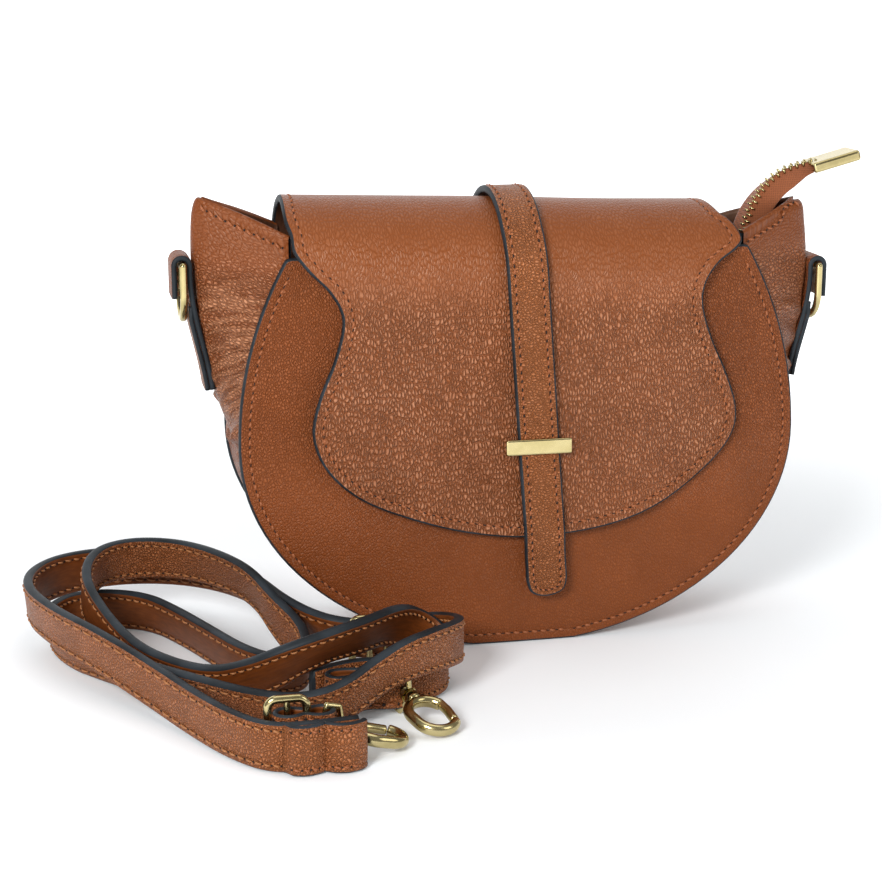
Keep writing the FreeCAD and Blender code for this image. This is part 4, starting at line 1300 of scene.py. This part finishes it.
def make_hem():
    """The strip where the flap is sewn to the back panel."""
    low, high, half = 133.5, 147.5, CORNER_HALF - 0.5
    corners = [(half - 3, low), (half, low + 3), (half, high - 2), (half - 2, high), (-half + 2, high),
               (-half, high - 2), (-half, low + 3), (-half + 3, low)]
    outline = stitched_outline([Vector(corner) for corner in corners])

    def surface(x, z, depth):
        return (x, BASE_HALF_DEPTH - z * math.tan(LEAN) + 2.3 - depth, z)

    middle = (low + high) / 2
    spine = (Vector((-half + 7, middle)), Vector((half - 7, middle)))
    hem = leather_sheet("flap_hem_leather", outline, spine, surface, 1.9, [FINE, EDGE, FINE], inner_rings=6,
                        sewn=3.4)
    row = stitches("flap_hem_stitches", sewn_path(outline, spine, surface, 0.4, 3.4), BROWN_THREAD,
                   closed=True)
    attach([hem, row], "bag", "saddle_leather")
    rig.replaces(hem, "flap_hem")


# ---------------------------------------------------------------- closure strap and bar

CLOSURE_WIDTH, CLOSURE_THICK = 17.0, 2.9
CLOSURE_TIP_Z = 21.5


def closure_place(v):
    """The middle of the closure strap at a distance along the flap."""
    height = ROLL_Z + v
    x = 0.063 * (145 - height) if v < 20 else 0.063 * (145 - ROLL_Z - 20) - 0.02 * (v - 20)
    rest = 0.6 + 1.0 * smoothstep(v, -30, 10)
    press = 1 - math.exp(-((height - 82.5) / 14) ** 2)
    below = smoothstep(46 - height, 0, 10)
    out = rest * press + 0.2 + flap_swell(x, v) * 0.8 - 1.2 * below
    return Vector(flap_point(x, v, out + CLOSURE_THICK / 2))


def make_closure():
    """The narrow strap over the flap, bent round the roll and pressed down by the gold bar."""
    start = flap_v(CLOSURE_TIP_Z)
    end = ROLL_R * (math.pi - LEAN - math.radians(30))
    steps = 150
    places = [closure_place(start + (end - start) * i / steps) for i in range(steps + 1)]
    sides, outs = band_frame(places, X_AXIS)
    half = CLOSURE_WIDTH / 2

    def surface(w, run, depth):
        share = min(max(run / total, 0.0), 1.0) * steps
        i = min(int(share), steps - 1)
        part = share - i
        place = places[i].lerp(places[i + 1], part)
        side = sides[i].lerp(sides[i + 1], part)
        out = outs[i].lerp(outs[i + 1], part)
        return place + side * w + out * (CLOSURE_THICK / 2 - depth)

    total = line_length(places, closed=False)
    corner = half * 0.86
    tip = [(-half * 0.55, 0.9), (0, 0.0), (half * 0.55, 0.9), (corner, 3.0), (half, 7.5)]
    long_side = [(half, 7.5 + (total - 9) * k / 40) for k in range(1, 41)]
    top = [(half - 1, total), (0, total), (-half + 1, total)]
    other = [(-x, run) for x, run in reversed([(half, 7.5)] + long_side)] + [(-corner, 3.0)]
    outline = stitched_outline(smooth_curve([Vector(p) for p in tip + long_side + top + other], steps=4), 3.6)
    spine = (Vector((0, half)), Vector((0, total - half)))
    strap = leather_sheet("closure_strap_leather", outline, spine, surface, CLOSURE_THICK,
                          [STRAP_FACE, EDGE, LINING_LEATHER], groove=0.35, inner_rings=5, sewn=2.9)
    row = stitches("closure_strap_stitches", sewn_path(outline, spine, surface, 0.35, 2.9), BROWN_THREAD,
                   closed=True)
    attach([strap, row], "flap", "saddle_leather")
    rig.replaces(strap, "closure_strap")


# ---------------------------------------------------------------- tabs and the zip's tail

TAB_WIDTH, TAB_THICK = 17.4, 2.3
# side, x of the face against the gusset, height of the ring's bar, long leg, how far that leg leans in
TABS = {"left": (-1, 129.2, 156.5, 50.0, 8.2), "right": (1, 127.3, 148.0, 46.0, 8.6)}


def make_tabs():
    """A leather strip folded down over each D-ring's bar and sewn to the gusset."""
    inner, short = 1.9, 13.0
    leg_end, layer_end = 41, 28
    for label, (side, face, pivot, long_leg, inward) in TABS.items():
        middle_radius = inner + TAB_THICK / 2
        centre_x = face + TAB_THICK + inner
        route = []
        for i in range(leg_end):
            down = long_leg * (1 - i / (leg_end - 1))
            lean_in = inward * smoothstep(down, 4, long_leg * 1.15)
            route.append((centre_x - middle_radius - lean_in, pivot - down))
        route += [(centre_x - middle_radius * math.cos(angle), pivot + middle_radius * math.sin(angle))
                  for angle in (math.pi * i / 16 for i in range(1, 17))]
        route += [(centre_x + middle_radius, pivot - short * i / 12) for i in range(1, 13)]
        places = [Vector((side * x, 0, z)) for x, z in route]
        sides, outs = band_frame(places, Y_AXIS * -side)
        if outs[0].x * side < 0:
            outs = [-out for out in outs]
        tab = ribbon(f"tab_{label}_leather", places, sides, outs, TAB_WIDTH, TAB_THICK,
                     [STRAP_FACE, EDGE, FINE])
        rows = ribbon_stitches(f"tab_{label}", places[:leg_end], sides[:leg_end], outs[:leg_end], TAB_WIDTH,
                               TAB_THICK, BROWN_THREAD, 3.6, both=False, skip=1)
        fold = leg_end + 15
        rows += ribbon_stitches(f"tab_{label}_short", places[fold:], sides[fold:], outs[fold:], TAB_WIDTH,
                                TAB_THICK, BROWN_THREAD, 3.4, both=False)
        layer = [place + out * (2.05 - 0.9 * smoothstep(i, 22, 27))
                 for i, (place, out) in enumerate(zip(places[:layer_end], outs))]
        double = ribbon(f"tab_{label}_layer", layer, sides[:layer_end], outs[:layer_end], TAB_WIDTH, 2.0,
                        [STRAP_FACE, EDGE, FINE])
        attach([tab, double] + rows, "bag", "saddle_leather")
        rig.replaces(tab, f"tab_{label}")


TAIL_ROUTE = [(86, 144), (90.3, 144), (97, 149), (101, 160), (104, 170), (109, 178.5), (116, 184.6),
              (124, 187.7), (133, 189.5)]


def make_tail():
    """The zip's free end: both tapes fall away from the closed teeth like a roof turned towards the front."""
    line = smooth_curve([Vector((x, 0, z)) for x, z in TAIL_ROUTE], closed=False, steps=14)
    places = resample(line, 110, closed=False)
    _, outs = band_frame(places, Y_AXIS)
    if outs[60].z < 0:
        outs = [-out for out in outs]
    turns = [math.radians(52 - 38 * smoothstep(i, 30, 100)) for i in range(len(places))]
    tops = [out * math.cos(turn) - Y_AXIS * math.sin(turn) for out, turn in zip(outs, turns)]
    wides = [Y_AXIS * math.cos(turn) + out * math.sin(turn) for out, turn in zip(outs, turns)]
    slope, half_width = math.radians(38), 4.4
    narrowing = [1 - 0.42 * smoothstep(i, 84, 106) for i in range(len(places))]
    pieces = []
    for side, label in ((-1, "front"), (1, "back")):
        across = [(wide * side * math.cos(slope) - top * math.sin(slope)).normalized()
                  for wide, top in zip(wides, tops)]
        faces = [(wide * side * math.sin(slope) + top * math.cos(slope)).normalized()
                 for wide, top in zip(wides, tops)]
        middles = [place + top * 1.6 + way * (half_width * share)
                   for place, top, way, share in zip(places, tops, across, narrowing)]
        pieces.append(ribbon(f"zip_tail_{label}_tape", middles, across, faces, 2 * half_width, 0.9,
                             [TAPE, TAPE, TAPE], groove_inset=2.0, groove=0.0, narrowing=narrowing))
    attach(pieces, "bag", "zip_tape")
    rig.replaces(pieces[0], "zip_tail")
    teeth = tail_teeth(places, tops, wides)
    attach([teeth], "bag", "gold_metal")


def tail_teeth(places, tops, wides):
    """Small blocks along the ridge, leaning to one side and the other in turn."""
    pitch, size = 1.4, Vector((0.42, 1.25, 0.85))
    count = int(line_length(places, closed=False) / pitch)
    points, faces = [], []
    for i in range(1, count):
        share = i * (len(places) - 1) / count
        k = min(int(share), len(places) - 2)
        place = places[k].lerp(places[k + 1], share - k)
        along = (places[k + 1] - places[k]).normalized()
        out, wide = tops[k], wides[k]
        row = 1 if i % 2 else -1
        middle = place + wide * (row * 0.8) + out * 2.0
        start = len(points)
        for a, b, c in [(a, b, c) for a in (-1, 1) for b in (-1, 1) for c in (-1, 1)]:
            narrow = 0.75 if c > 0 else 1.0
            points.append(middle + along * (a * size.x * narrow) + wide * (b * size.y * narrow)
                          + out * (c * size.z))
        for quad in ((0, 1, 3, 2), (4, 6, 7, 5), (0, 4, 5, 1), (2, 3, 7, 6), (0, 2, 6, 4), (1, 5, 7, 3)):
            faces.append(tuple(start + corner for corner in quad))
    return new_piece("zip_tail_teeth", points, faces, [GOLD], [0] * len(faces))


# ---------------------------------------------------------------- the CAD's own metal and cloth

KEPT = {
    GOLD: ["closure_bar", "snap_stud", "snap_socket", "zip_teeth_front", "zip_teeth_back", "zip_slider",
           "zip_pull", "zip_end_cap", "d_ring_left", "d_ring_right", "slide_buckle_a", "slide_buckle_b",
           "hook_a_eye", "hook_b_eye"],
    STEEL: ["bar_back_plate"],
    TAPE: ["zip_tape_front", "zip_tape_back"],
    LINING_LEATHER: ["zip_facing_front", "zip_facing_back"],
    LINING: ["slip_pocket"],
}


def paint_kept():
    """The CAD's own solids that show as they are, in the scene's materials."""
    for material, names in KEPT.items():
        for name in names:
            node = frame["nodes"][name]
            node.data.materials.clear()
            node.data.materials.append(material)


make_panels()
make_gusset()
make_flap()
make_hem()
make_closure()
make_tabs()
make_tail()
paint_kept()

with open("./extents.json", "w") as out:
    json.dump({"cad": [list(corner) for corner in CAD_BOX], "visual": [list(corner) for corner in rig.bounds()]}, out)
